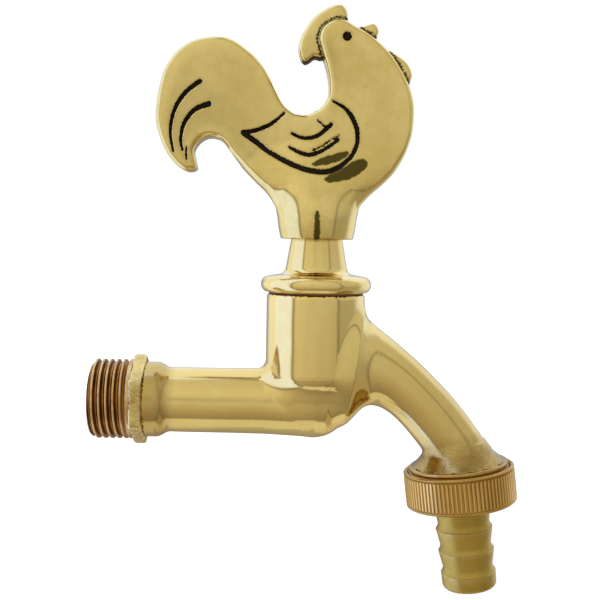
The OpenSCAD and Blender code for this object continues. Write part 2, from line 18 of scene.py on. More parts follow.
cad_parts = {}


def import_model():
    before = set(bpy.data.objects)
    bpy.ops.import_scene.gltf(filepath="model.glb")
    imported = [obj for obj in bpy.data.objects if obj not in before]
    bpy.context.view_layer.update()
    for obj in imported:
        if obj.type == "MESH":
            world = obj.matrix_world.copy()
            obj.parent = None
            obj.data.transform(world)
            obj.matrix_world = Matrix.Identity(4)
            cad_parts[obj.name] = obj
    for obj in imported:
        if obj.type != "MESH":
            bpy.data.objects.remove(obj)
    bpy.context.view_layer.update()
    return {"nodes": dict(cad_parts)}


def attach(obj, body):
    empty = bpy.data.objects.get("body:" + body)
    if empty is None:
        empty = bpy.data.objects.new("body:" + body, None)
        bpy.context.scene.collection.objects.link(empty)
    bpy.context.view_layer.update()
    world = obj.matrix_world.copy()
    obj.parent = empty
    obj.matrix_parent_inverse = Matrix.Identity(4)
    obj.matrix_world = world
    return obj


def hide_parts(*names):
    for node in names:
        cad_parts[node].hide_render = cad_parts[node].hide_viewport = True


log = logging.getLogger("garden_tap")

MM = 0.001
WHITE = (1, 1, 1)
FAR = 30.0
THREAD_STEP = 0.09
STEM_AXIS = (0.0, 0.0, 1.0)
OUTLET_TILT = math.radians(7)
OUTLET_AXIS = (math.sin(OUTLET_TILT), 0.0, -math.cos(OUTLET_TILT))

Points = np.ndarray
Profile = list[tuple[float, float]]
Outline = list[list[float]]
Triple = tuple[float, float, float]
Colour = Triple
Value = object
Socket = bpy.types.NodeSocket
Mesh = bpy.types.Mesh
Piece = bpy.types.Object
Material = bpy.types.Material


class Body(Enum):
    """Bodies of the tap that the pieces ride on."""

    TAP = "tap"
    HANDLE = "handle"
    TAIL = "tail"
    NUT = "nut"


class Slot(Enum):
    """Material slots of the record."""

    CAST = "cast_brass"
    SATIN = "satin_brass"
    OLIVE = "olive_brass"


class Noise(Enum):
    """Textures that a pattern can be drawn from."""

    CLOUD = "ShaderNodeTexNoise"
    CELLS = "ShaderNodeTexVoronoi"


# ---------------------------------------------------------------- small mathematics


def ease(t: float) -> float:
    """Rise from 0 to 1 with level ends."""
    return (1 - math.cos(math.pi * t)) / 2


def arc(cx: float, cy: float, r: float, start: float, end: float, steps: int = 10) -> Profile:
    """Points of an arc.

    Args:
        cx: Centre, first coordinate.
        cy: Centre, second coordinate.
        r: Radius.
        start: First angle in degrees.
        end: Last angle in degrees.
        steps: Number of straight pieces.

    Returns:
        The points, ends included.
    """
    angles = [math.radians(start + (end - start) * k / steps) for k in range(steps + 1)]
    return [(cx + r * math.cos(a), cy + r * math.sin(a)) for a in angles]


def smooth_line(keys: Sequence[Sequence[float]], steps: int, closed: bool = False) -> Points:
    """Smooth line that runs through its key points.

    Args:
        keys: Key points, all with the same number of coordinates.
        steps: Pieces between two key points.
        closed: Whether the last point runs back to the first.

    Returns:
        The points of the line, one row each.
    """
    p = np.array(keys, float)
    n = len(p)
    spans = n if closed else n - 1
    around = (lambda i: i % n) if closed else (lambda i: min(max(i, 0), n - 1))
    rows = []
    for i in range(spans):
        a, b, c, d = (p[around(i + k)] for k in (-1, 0, 1, 2))
        for k in range(steps):
            t = k / steps
            rows.append(
                0.5 * (2 * b + (c - a) * t + (2 * a - 5 * b + 4 * c - d) * t**2 + (3 * b - a - 3 * c + d) * t**3)
            )
    if not closed:
        rows.append(p[-1])
    return np.array(rows)


def rounded(profile: Profile, radius: float, steps: int = 3) -> Profile:
    """Profile with its sharp corners rounded.

    Args:
        profile: Closed profile.
        radius: Largest cut-back from a corner.
        steps: Pieces in each rounding.

    Returns:
        The new closed profile.
    """
    out: Profile = []
    n = len(profile)
    for i in range(n):
        before, here, after = (Vector(profile[(i + k) % n]) for k in (-1, 0, 1))
        to_before, to_after = before - here, after - here
        turn = math.pi - to_before.angle(to_after, math.pi)
        if turn < math.radians(28):
            out.append(tuple(here))
            continue
        cut = min(radius, 0.4 * to_before.length, 0.4 * to_after.length)
        first = here + to_before.normalized() * cut
        last = here + to_after.normalized() * cut
        for k in range(steps + 1):
            t = k / steps
            out.append(tuple((1 - t) ** 2 * first + 2 * t * (1 - t) * here + t**2 * last))
    return out


def line_distance(p: Points, line: Points, widths: Points | None = None) -> Points:
    """Distance from points to an open line in the plane.

    Args:
        p: Points, two columns.
        line: Points of the line.
        widths: Half width at each point of the line, taken off the distance.

    Returns:
        One distance for each point.
    """
    a, ab = line[:-1], np.diff(line, axis=0)
    best = np.full(len(p), 1e9)
    for i in range(len(a)):
        t = np.clip(((p - a[i]) @ ab[i]) / max(ab[i] @ ab[i], 1e-12), 0, 1)
        gap = np.hypot(p[:, 0] - a[i][0] - t * ab[i][0], p[:, 1] - a[i][1] - t * ab[i][1])
        if widths is not None:
            gap = gap - (widths[i] + (widths[i + 1] - widths[i]) * t)
        best = np.minimum(best, gap)
    return best


def outline_distance(p: Points, outline: Points) -> Points:
    """Signed distance to a closed outline in the plane, negative inside.

    Args:
        p: Points, two columns.
        outline: Points of the outline.

    Returns:
        One signed distance for each point.
    """
    ring = np.vstack([outline, outline[:1]])
    inside = np.zeros(len(p), bool)
    for (x0, y0), (x1, y1) in zip(ring[:-1], ring[1:], strict=True):
        if y0 != y1:
            crosses = (y0 > p[:, 1]) != (y1 > p[:, 1])
            inside ^= crosses & (p[:, 0] < (x1 - x0) * (p[:, 1] - y0) / (y1 - y0) + x0)
    gap = line_distance(p, ring)
    return np.where(inside, -gap, gap)


def bump(v: Points, at: float, half: float) -> Points:
    """Bell of height 1 round a place."""
    return np.exp(-(((v - at) / half) ** 2))


def ramp(v: Points, low: float, high: float) -> Points:
    """Straight rise from 0 to 1, or fall where low is above high."""
    return np.clip((v - low) / (high - low), 0, 1)


def join(a: Points, b: Points, r: Points | float) -> Points:
    """Union of two fields with a fillet of radius r."""
    return np.maximum(r, np.minimum(a, b)) - np.hypot(np.maximum(r - a, 0), np.maximum(r - b, 0))


def common(a: Points, b: Points, r: float) -> Points:
    """What two fields share, with an edge of radius r."""
    return np.hypot(np.maximum(r + a, 0), np.maximum(r + b, 0)) + np.minimum(-r, np.maximum(a, b))


def slab(v: Points, low: float, high: float) -> Points:
    """Signed distance to the layer between two heights."""
    return np.maximum(low - v, v - high)


def waves(p: Points, length: float, seed: float) -> Points:
    """Slow unevenness that hand polishing leaves.

    Args:
        p: Points, three columns.
        length: Distance between two crests.
        seed: Start of the pattern.

    Returns:
        Values from about -1 to 1.
    """
    k = 2 * math.pi / length
    x, y, z = (p * k).T
    first = np.sin(x + 0.6 * z + seed) * np.sin(0.8 * z - 0.5 * y + 2 * seed)
    second = np.sin(0.5 * x - 1.3 * z + 3 * seed) * np.sin(0.9 * y + 0.4 * x + seed)
    return 0.6 * first + 0.4 * second


# ---------------------------------------------------------------- meshes


@dataclass
class Skin:
    """Closed smooth skin over a signed distance field.

    A coarse block is filled in where the field at its middle is within near_share of the block's side. Points
    then move onto the surface by steps of at most move_share of a cell, over slopes of at least least_slope.
    """

    distance: Callable[[Points], Points]
    low: Triple
    high: Triple
    cell: float
    block: int = 4
    portion: int = 60000
    rounds: int = 3
    near_share: float = 1.0875
    move_share: float = 0.6
    least_slope: float = 0.2

    def _sampled(self) -> tuple[Points, Points]:
        """Field on a grid, worked out only near the surface.

        Returns:
            The grid's origin and its values.
        """
        origin = np.array(self.low, float)
        blocks = np.ceil((np.array(self.high) - origin) / (self.cell * self.block)).astype(int)
        reach = self.cell * self.block
        centres = np.stack(np.meshgrid(*[np.arange(n) for n in blocks], indexing="ij"), -1).reshape(-1, 3)
        coarse = self._values(origin + (centres + 0.5) * reach)
        near = np.abs(coarse) < self.near_share * reach + 0.1
        values = coarse.reshape(blocks)
        for axis in range(3):
            values = np.repeat(values, self.block, axis)
        inner = np.stack(np.meshgrid(*[np.arange(self.block)] * 3, indexing="ij"), -1).reshape(-1, 3)
        index = (centres[near][:, None, :] * self.block + inner).reshape(-1, 3)
        values[tuple(index.T)] = self._values(origin + (index + 0.5) * self.cell)
        return origin + 0.5 * self.cell, values

    def _values(self, points: Points) -> Points:
        """Field at many points, in portions."""
        portions = np.array_split(points, max(len(points) // self.portion, 1))
        return np.concatenate([self.distance(part) for part in portions])

    def gradient(self, points: Points, step: float = 0.03) -> tuple[Points, Points]:
        """Field and its slope at points.

        Args:
            points: Places, three columns.
            step: Half the distance between two samples.

        Returns:
            The values and the slopes.
        """
        corners = np.array([(1, -1, -1), (-1, -1, 1), (-1, 1, -1), (1, 1, 1)], float)
        samples = [self._values(points + corner * step) for corner in corners]
        slope = sum(value[:, None] * corner for value, corner in zip(samples, corners, strict=True))
        return sum(samples) / 4, slope / (4 * step)

    def build(self) -> tuple[Points, Points, Points]:
        """Skin of four-sided faces.

        Returns:
            Points, faces and the direction that the surface faces at each point.
        """
        origin, v = self._sampled()
        inside = v < 0
        shape = np.array(v.shape)
        total, count, quads = np.zeros((v.size, 3)), np.zeros(v.size), []
        for axis in range(3):
            a, b = (axis + 1) % 3, (axis + 2) % 3
            near = [slice(None)] * 3
            far = [slice(None)] * 3
            near[axis], far[axis] = slice(0, -1), slice(1, None)
            edges = np.argwhere(inside[tuple(near)] != inside[tuple(far)])
            sides = edges[:, [a, b]]
            edges = edges[((sides > 0) & (sides < shape[[a, b]] - 1)).all(1)]
            ahead = edges.copy()
            ahead[:, axis] += 1
            v0, v1 = v[tuple(edges.T)], v[tuple(ahead.T)]
            crossing = edges.astype(float)
            crossing[:, axis] += v0 / (v0 - v1)
            corners = []
            for da, db in ((0, 0), (-1, 0), (-1, -1), (0, -1)):
                cell = edges.copy()
                cell[:, a] += da
                cell[:, b] += db
                ids = np.ravel_multi_index(tuple(cell.T), v.shape)
                corners.append(ids)
                for k in range(3):
                    total[:, k] += np.bincount(ids, crossing[:, k], v.size)
                count += np.bincount(ids, minlength=v.size)
            faces = np.stack(corners, 1)
            outward = v0 < 0
            faces[~outward] = faces[~outward][:, ::-1]
            quads.append(faces)
        used = np.flatnonzero(count)
        number = np.zeros(v.size, int)
        number[used] = np.arange(len(used))
        points = origin + total[used] / count[used][:, None] * self.cell
        for _ in range(self.rounds):
            value, slope = self.gradient(points)
            size = np.maximum((slope**2).sum(1), self.least_slope)
            move = -value[:, None] * slope / size[:, None]
            length = np.linalg.norm(move, axis=1, keepdims=True)
            points += move * np.minimum(1, self.move_share * self.cell / np.maximum(length, 1e-9))
        _, slope = self.gradient(points)
        facing = slope / np.maximum(np.linalg.norm(slope, axis=1, keepdims=True), 1e-9)
        return points, number[np.concatenate(quads)], facing


def place(x: Sequence[float], z: Sequence[float], origin: Sequence[float]) -> Matrix:
    """Turn and move from a piece's own axes to the tap.

    Args:
        x: Where the piece's own X points.
        z: Where its axis points.
        origin: Where its origin lies.

    Returns:
        The transform in millimetres.
    """
    across = Vector(z).cross(Vector(x))
    turn = Matrix((x, across, z)).transposed().to_4x4()
    return Matrix.Translation(origin) @ turn


def linked(name: str, data: bpy.types.ID) -> Piece:
    """New object in the scene."""
    piece = bpy.data.objects.new(name, data)
    bpy.context.scene.collection.objects.link(piece)
    return piece


def cleared(owner: Material | bpy.types.World) -> bpy.types.NodeTree:
    """Empty node tree of a material or a world."""
    owner.use_nodes = True
    owner.node_tree.nodes.clear()
    return owner.node_tree


def skin_piece(name: str, skin: Skin, values: dict[str, Callable[[Points], Points]] | None = None) -> Piece:
    """Piece with the skin of a field.

    Args:
        name: The piece's name.
        skin: The skin, already in the tap's frame.
        values: Functions that give a named value at each point.

    Returns:
        The new object, with exact shading normals.
    """
    points, quads, facing = skin.build()
    mesh = bpy.data.meshes.new(name)
    mesh.from_pydata((points * MM).tolist(), [], quads.tolist())
    for key, function in (values or {}).items():
        layer = mesh.attributes.new(key, "FLOAT", "POINT")
        layer.data.foreach_set("value", function(points).astype(np.float32))
    mesh.validate()
    mesh.shade_smooth()
    mesh.normals_split_custom_set_from_vertices(facing.tolist())
    return linked(name, mesh)


class Term:
    """Socket that is calculated with as if it were a number."""

    def __init__(self, graph: "Graph", socket: Socket) -> None:
        """Keep the socket and the graph that it belongs to."""
        self.graph, self.socket = graph, socket

    def __add__(self, other: Value) -> "Term":
        """Sum."""
        return self.graph.math("ADD", self, other)

    def __sub__(self, other: Value) -> "Term":
        """Difference."""
        return self.graph.math("SUBTRACT", self, other)

    def __rsub__(self, other: Value) -> "Term":
        """Difference, when this is what is taken off."""
        return self.graph.math("SUBTRACT", other, self)

    def __mul__(self, other: Value) -> "Term":
        """Product."""
        return self.graph.math("MULTIPLY", self, other)

    def __truediv__(self, other: Value) -> "Term":
        """Quotient."""
        return self.graph.math("DIVIDE", self, other)

    __radd__ = __add__
    __rmul__ = __mul__


class Graph:
    """Adds and links the nodes of one tree."""

    def __init__(self, tree: bpy.types.NodeTree) -> None:
        """Keep the tree."""
        self.tree = tree

    def add(self, kind: str, inputs: dict[object, Value] | None = None, **settings: Value) -> bpy.types.Node:
        """New node.

        Args:
            kind: The node's type.
            inputs: Sockets to link or constants to set, by name or number.
            settings: The node's own options.

        Returns:
            The node.
        """
        node = self.tree.nodes.new(kind)
        for key, value in settings.items():
            setattr(node, key, value)
        for key, value in (inputs or {}).items():
            self.feed(node.inputs[key], value)
        return node

    def feed(self, socket: Socket, value: Value) -> None:
        """Link a socket, or set its constant; a colour may leave out its alpha."""
        if isinstance(value, Term):
            self.tree.links.new(value.socket, socket)
        elif socket.type == "RGBA" and len(value) == 3:
            socket.default_value = (*value, 1)
        else:
            socket.default_value = value

    def out(
        self, kind: str, inputs: dict[object, Value] | None = None, output: str | int = 0, **settings: Value
    ) -> Term:
        """One output of a new node."""
        return Term(self, self.add(kind, inputs, **settings).outputs[output])

    def terms(self, node: bpy.types.Node) -> dict[str, Term]:
        """All outputs of a node, by name."""
        return {socket.name: Term(self, socket) for socket in node.outputs}

    def math(self, operation: str, *values: Value) -> Term:
        """Result of a calculation with numbers."""
        return self.out("ShaderNodeMath", dict(enumerate(values)), operation=operation)

    def mix(self, factor: Value, a: Value, b: Value) -> Term:
        """Colour between two colours."""
        return self.out("ShaderNodeMix", {0: factor, 6: a, 7: b}, 2, data_type="RGBA")

    def span(
        self, value: Value, low: Value, high: Value, start: Value = 0.0, end: Value = 1.0, smooth: bool = True
    ) -> Term:
        """Value carried over from one range to another.

        Args:
            value: The value.
            low: Start of its range.
            high: End of its range.
            start: Result at the range's start and before it.
            end: Result at the range's end and beyond it.
            smooth: Whether the rise has level ends.

        Returns:
            The result.
        """
        inputs = {"Value": value, "From Min": low, "From Max": high, "To Min": start, "To Max": end}
        return self.out("ShaderNodeMapRange", inputs, interpolation_type="SMOOTHSTEP" if smooth else "LINEAR")

    def split(self, vector: Term) -> tuple[Term, Term, Term]:
        """X, Y and Z of a vector."""
        return tuple(self.terms(self.add("ShaderNodeSeparateXYZ", {0: vector})).values())

    def vector(self, x: Value = 0.0, y: Value = 0.0, z: Value = 0.0) -> Term:
        """Vector of three numbers."""
        return self.out("ShaderNodeCombineXYZ", {0: x, 1: y, 2: z})


class Group(Graph):
    """Node group with named inputs."""

    kinds = {int: "NodeSocketInt", float: "NodeSocketFloat", 3: "NodeSocketVector", 4: "NodeSocketColor"}

    def __init__(self, name: str, kind: str, inputs: dict[str, Value]) -> None:
        """Start a group.

        Args:
            name: The group's name.
            kind: The type of its tree.
            inputs: Names with default values, of which three numbers are a vector and four a colour,
                or with the type of a socket that has no default.
        """
        super().__init__(bpy.data.node_groups.new(name, kind))
        for key, value in inputs.items():
            if isinstance(value, str):
                self.tree.interface.new_socket(key, in_out="INPUT", socket_type=value)
                continue
            socket_kind = self.kinds[len(value) if isinstance(value, tuple) else type(value)]
            self.tree.interface.new_socket(key, in_out="INPUT", socket_type=socket_kind).default_value = value
        self.ask = self.terms(self.add("NodeGroupInput"))


class ShapeTree(Group):
    """Geometry Nodes tree with named inputs."""

    def __init__(self, name: str, sizes: dict[str, float | int]) -> None:
        """Start a tree with its name and the default values of its sizes."""
        inputs = {"Geometry": "NodeSocketGeometry", **sizes, "Finish": "NodeSocketMaterial"}
        super().__init__(name, "GeometryNodeTree", inputs)
        self.tree.interface.new_socket("Geometry", in_out="OUTPUT", socket_type="NodeSocketGeometry")

    def here(self) -> tuple[Term, Term, Term]:
        """X, Y and Z of each point."""
        return self.split(self.out("GeometryNodeInputPosition"))

    def moved(self, geometry: Term, spot: Term, **more: Term) -> Term:
        """Geometry with its points moved to a spot."""
        return self.out("GeometryNodeSetPosition", {"Geometry": geometry, "Position": spot} | more)

    def marked(self, geometry: Term, name: str, value: Term) -> Term:
        """Geometry with a value kept at each point."""
        inputs = {"Geometry": geometry, "Name": name, "Value": value}
        return self.out("GeometryNodeStoreNamedAttribute", inputs, data_type="FLOAT", domain="POINT")

    def end(self, geometry: Term) -> None:
        """Realise the copies and give them their finish."""
        real = self.out("GeometryNodeRealizeInstances", {0: geometry})
        done = self.out("GeometryNodeSetMaterial", {"Geometry": real, "Material": self.ask["Finish"]})
        self.add("NodeGroupOutput", {0: done})

    def run(self, mesh: Mesh, finish: Material, **sizes: float | int) -> Mesh:
        """Make a plain mesh with the tree.

        Args:
            mesh: What the tree starts from.
            finish: Material of the result.
            sizes: Values of the size inputs, with _ for a space.

        Returns:
            The evaluated mesh.
        """
        holder = linked("holder", mesh)
        modifier = holder.modifiers.new("shape", "NODES")
        modifier.node_group = self.tree
        wanted = {key.replace("_", " "): value for key, value in sizes.items()} | {"finish": finish}
        for socket in self.tree.interface.items_tree:
            if socket.in_out == "INPUT" and socket.name.lower() in wanted:
                modifier[socket.identifier] = wanted[socket.name.lower()]
        graph = bpy.context.evaluated_depsgraph_get()
        made = bpy.data.meshes.new_from_object(holder.evaluated_get(graph), depsgraph=graph)
        bpy.data.objects.remove(holder)
        return made


class TurnedTree(ShapeTree):
    """Turns a profile round its axis."""

    weld = 0.0005

    def __init__(self) -> None:
        """Build the tree: a grid whose rows take the profile's points, turned step by step."""
        super().__init__("turned_piece", {"Steps": 96})
        profile, steps = self.ask["Geometry"], self.ask["Steps"]
        rows = self.out("GeometryNodeAttributeDomainSize", {0: profile}, "Point Count")
        grid = self.out("GeometryNodeMeshGrid", {"Vertices X": steps + 1, "Vertices Y": rows})
        index = self.out("GeometryNodeInputIndex")
        turn = self.math("FLOOR", index / rows) / steps * (2 * math.pi)
        here = self.out("GeometryNodeInputPosition")
        inputs = {"Geometry": profile, "Value": here, "Index": self.math("MODULO", index, rows)}
        radius, _, height = self.split(self.out("GeometryNodeSampleIndex", inputs, data_type="FLOAT_VECTOR"))
        spot = self.vector(radius * self.math("COSINE", turn), radius * self.math("SINE", turn), height)
        moved = self.moved(grid, spot)
        self.end(self.out("GeometryNodeMergeByDistance", {"Geometry": moved, "Distance": self.weld}))


class ThreadTree(ShapeTree):
    """Cuts a right-hand pipe thread into a turned blank."""

    crest_end = 0.16
    root_start = 0.84

    def __init__(self) -> None:
        """Build the tree: the blank's outer skin is brought in to a helix of flat roots and narrow crests."""
        sizes = {"Pitch": 1.814, "Depth": 1.1, "Crest radius": 10.0, "Crest at": 0.0, "Inner radius": 8.0}
        super().__init__("pipe_thread", sizes | {"Fade from": 0.0, "Fade to": 1.0})
        ask, crest, depth = self.ask, self.ask["Crest radius"], self.ask["Depth"]
        x, y, z = self.here()
        radius = self.math("SQRT", x * x + y * y)
        turn = self.math("ARCTAN2", y, x) / (2 * math.pi)
        share = self.math("FRACT", (z - ask["Crest at"]) / ask["Pitch"] - turn + 0.5)
        away = self.math("ABSOLUTE", share - 0.5) * 2
        height = self.span(away, self.crest_end, self.root_start, 1.0, 0.0)
        fade = self.span(z, ask["Fade from"], ask["Fade to"], smooth=False)
        new = self.math("MINIMUM", radius, crest - depth * fade * (1 - height))
        inputs = {0: radius, 1: ask["Inner radius"]}
        outer = self.out("FunctionNodeCompare", inputs, data_type="FLOAT", operation="GREATER_THAN")
        kept = self.marked(ask["Geometry"], "thread_height", (new - (crest - depth)) / depth)
        scale = new / radius
        self.end(self.moved(kept, self.vector(x * scale, y * scale, z), Selection=outer))


class RidgeTree(ShapeTree):
    """Stands ridges round a turned ring."""

    rooted = 0.5

    def __init__(self) -> None:
        """Build the tree: one tapered ridge on each point of a circle, joined to the ring."""
        sizes = {"Count": 84, "Root radius": 14.2, "Height": 0.35, "Length": 8.0, "Low end": 0.8, "Crest share": 0.42}
        super().__init__("ridged_ring", sizes)
        ask, height = self.ask, self.ask["Height"]
        pitch = ask["Root radius"] * (2 * math.pi) / ask["Count"]
        size = {"Size": self.vector(height + self.rooted, pitch, ask["Length"])}
        block = self.out("GeometryNodeMeshCube", size | {f"Vertices {axis}": 2 for axis in "XYZ"})
        x, y, z = self.here()
        crest = self.math("GREATER_THAN", x, 0)
        narrow = self.span(crest, 0.0, 1.0, 1.0, ask["Crest share"])
        short = self.math("ABSOLUTE", z) - crest * height
        ridge = self.moved(block, self.vector(x, y * narrow, self.math("SIGN", z) * short))
        middle = ask["Root radius"] + (height - self.rooted) * 0.5
        ring = self.out("GeometryNodeMeshCircle", {"Vertices": ask["Count"], "Radius": middle})
        ring_x, ring_y, _ = self.here()
        places = {"Points": ring, "Rotation": self.vector(z=self.math("ARCTAN2", ring_y, ring_x))}
        copies = {"Instance": self.marked(ridge, "ridge_height", crest)}
        stood = self.out("GeometryNodeInstanceOnPoints", places | copies)
        lift = self.vector(z=ask["Low end"] + ask["Length"] * 0.5)
        raised = self.out("GeometryNodeTransform", {"Geometry": stood, "Translation": lift})
        joined = self.add("GeometryNodeJoinGeometry")
        for part in (ask["Geometry"], raised):
            self.feed(joined.inputs[0], part)
        self.end(Term(self, joined.outputs[0]))


@dataclass
class Workshop:
    """Makes turned pieces, and holds the trees that they share."""

    turned: TurnedTree = field(default_factory=TurnedTree)
    thread: ThreadTree = field(default_factory=ThreadTree)
    ridges: RidgeTree = field(default_factory=RidgeTree)

    def turn(self, profile: Profile, finish: Material, steps: int = 128) -> Mesh:
        """Turn a closed profile.

        Args:
            profile: Radius and height of each point.
            finish: Material of the piece.
            steps: Steps round the axis.

        Returns:
            A closed mesh on its own axis.
        """
        mesh = bpy.data.meshes.new("profile")
        mesh.from_pydata([(r, 0, s) for r, s in [*profile, profile[0]]], [], [])
        made = self.turned.run(mesh, finish, steps=steps)
        shell = bmesh.new()
        shell.from_mesh(made)
        bmesh.ops.recalc_face_normals(shell, faces=shell.faces)
        shell.to_mesh(made)
        shell.free()
        return made

    def piece(self, name: str, mesh: Mesh, where: Matrix, sharp: float = 32) -> Piece:
        """Put a mesh in its place on the tap.

        Args:
            name: The piece's name.
            mesh: Mesh in millimetres on its own axis.
            where: Its place.
            sharp: Angle in degrees over which an edge stays sharp.

        Returns:
            The new object.
        """
        mesh.transform(Matrix.Scale(MM, 4) @ where)
        mesh.shade_smooth()
        mesh.set_sharp_from_angle(angle=math.radians(sharp))
        mesh.name = name
        return linked(name, mesh)


# ---------------------------------------------------------------- finishes


class EffectGroup(Group):
    """Shader effect that several materials share."""

    def __init__(self, name: str, inputs: dict[str, Value]) -> None:
        """Start a group with its name and inputs."""
        super().__init__(name, "ShaderNodeTree", inputs)

    def give(self, **values: Term) -> None:
        """Add the group's outputs, of which only Color is a colour."""
        for key in values:
            kind = "NodeSocketColor" if key == "Color" else "NodeSocketFloat"
            self.tree.interface.new_socket(key, in_out="OUTPUT", socket_type=kind)
        self.add("NodeGroupOutput", values)

    def noise(
        self, scale: Value, kind: Noise = Noise.CLOUD, stretch: Triple = (1, 1, 1), lean: float = 0.0, **inputs: float
    ) -> Term:
        """Value of a texture on the piece's own coordinates.

        Args:
            scale: Features for each metre.
            kind: Which texture.
            stretch: How much denser it is along X, Y and Z.
            lean: Degrees by which the pattern leans over in the plane of the handle.
            inputs: More of the texture's inputs.

        Returns:
            The value.
        """
        spot = self.out("ShaderNodeTexCoord", output="Object")
        leant = self.out("ShaderNodeMapping", {"Vector": spot, "Rotation": (0, math.radians(lean), 0)})
        mapped = self.out("ShaderNodeMapping", {"Vector": leant, "Scale": stretch})
        return self.out(kind.value, {"Vector": mapped, "Scale": scale} | inputs)


class AgeingGroup(EffectGroup):
    """Slow changes of tone over the metal, with small stains."""

    def __init__(self) -> None:
        """Build the group."""
        colours = {"Clean": (0.8, 0.6, 0.25, 1), "Aged": (0.5, 0.33, 0.1, 1), "Stain": (0.2, 0.12, 0.03, 1)}
        super().__init__("ageing", colours | {"Patches": 60.0, "Amount": 0.5, "Stains": 0.2})
        ask, patches = self.ask, self.ask["Patches"]
        broad = self.noise(patches, Detail=3.0, Roughness=0.6)
        fine = self.noise(patches * 9, Detail=4.0, Roughness=0.7)
        spots = self.noise(patches * 4.3, Detail=5.0, Roughness=0.75)
        aged = self.span(broad * 0.7 + fine * 0.3, 0.36, 0.66) * ask["Amount"]
        stained = self.span(spots, 0.6, 0.74) * ask["Stains"]
        base = self.mix(aged, ask["Clean"], ask["Aged"])
        self.give(Color=self.mix(stained, base, ask["Stain"]), Mask=self.math("MAXIMUM", aged, stained))


class PolishGroup(EffectGroup):
    """Hair lines, dulled clouds and pin holes of polished metal."""

    def __init__(self) -> None:
        """Build the group."""
        super().__init__("polish_marks", {"Fineness": 1.0, "Dullness": 0.5, "Pits": 0.3})
        ask = self.ask
        along = self.noise(ask["Fineness"] * 900, stretch=(0.14, 1, 1.6), lean=24, Detail=4.0)
        across = self.noise(ask["Fineness"] * 640, stretch=(1.5, 1, 0.12), lean=-8, Detail=4.0)
        hair = along * 0.5 + across * 0.5
        clouds = self.noise(70.0, Detail=4.0, Roughness=0.65)
        dots = self.noise(1500.0, Noise.CELLS, Randomness=1.0)
        holes = self.span(dots, 0.0, 0.16, 1.0, 0.0) * self.span(clouds, 0.5, 0.7)
        pits = holes * ask["Pits"]
        cloudy = self.span(clouds, 0.35, 0.7) * ask["Dullness"]
        streaks = self.span(hair, 0.38, 0.62)
        self.give(Height=hair - pits, Rough=hair * 0.2 + (cloudy + pits), Streaks=streaks, Holes=holes)


class CastingGroup(EffectGroup):
    """Pitted skin of sand-cast metal."""

    def __init__(self) -> None:
        """Build the group."""
        super().__init__("casting_skin", {"Grain": 700.0})
        grain = self.noise(self.ask["Grain"], Detail=4.0, Roughness=0.7)
        cells = self.noise(self.ask["Grain"] * 1.3, Noise.CELLS, Randomness=1.0)
        height = grain * 0.85 + cells * 0.3
        self.give(Height=height, Hollows=self.span(height, 0.42, 0.58, 1.0, 0.0))


class TurningGroup(EffectGroup):
    """Fine tool lines that run round an axis."""

    def __init__(self) -> None:
        """Build the group."""
        super().__init__("turning_lines", {"Axis": (0.0, 0.0, 1.0), "Pitch": 0.2})
        spot = self.out("ShaderNodeTexCoord", output="Object")
        inputs = {0: spot, 1: self.ask["Axis"]}
        along = self.out("ShaderNodeVectorMath", inputs, "Value", operation="DOT_PRODUCT")
        turns = along * 1000 / self.ask["Pitch"]
        self.give(Height=self.math("SINE", turns * (2 * math.pi)) * self.noise(400.0, Detail=3.0))


class EdgeGroup(EffectGroup):
    """Where edges are worn pale, partly as painted highlight, and hollows darken with grime and painted shade."""

    def __init__(self) -> None:
        """Build the group."""
        super().__init__("edge_wear_and_sheen", {"Ragged": 0.5})
        sharp = self.out("ShaderNodeNewGeometry", output="Pointiness")
        bent = sharp + (self.noise(600.0, Detail=4.0) - 0.5) * self.ask["Ragged"] * 0.06
        # Worn: paler edges, wear with painted highlight. Hollow: darker hollows, grime with painted shade.
        self.give(Worn=self.span(bent, 0.51, 0.56), Hollow=self.span(bent, 0.44, 0.49, 1.0, 0.0))


@dataclass
class Effects:
    """All shared effects, each built once."""

    ageing: AgeingGroup = field(default_factory=AgeingGroup)
    polish: PolishGroup = field(default_factory=PolishGroup)
    casting: CastingGroup = field(default_factory=CastingGroup)
    turning: TurningGroup = field(default_factory=TurningGroup)
    edges: EdgeGroup = field(default_factory=EdgeGroup)


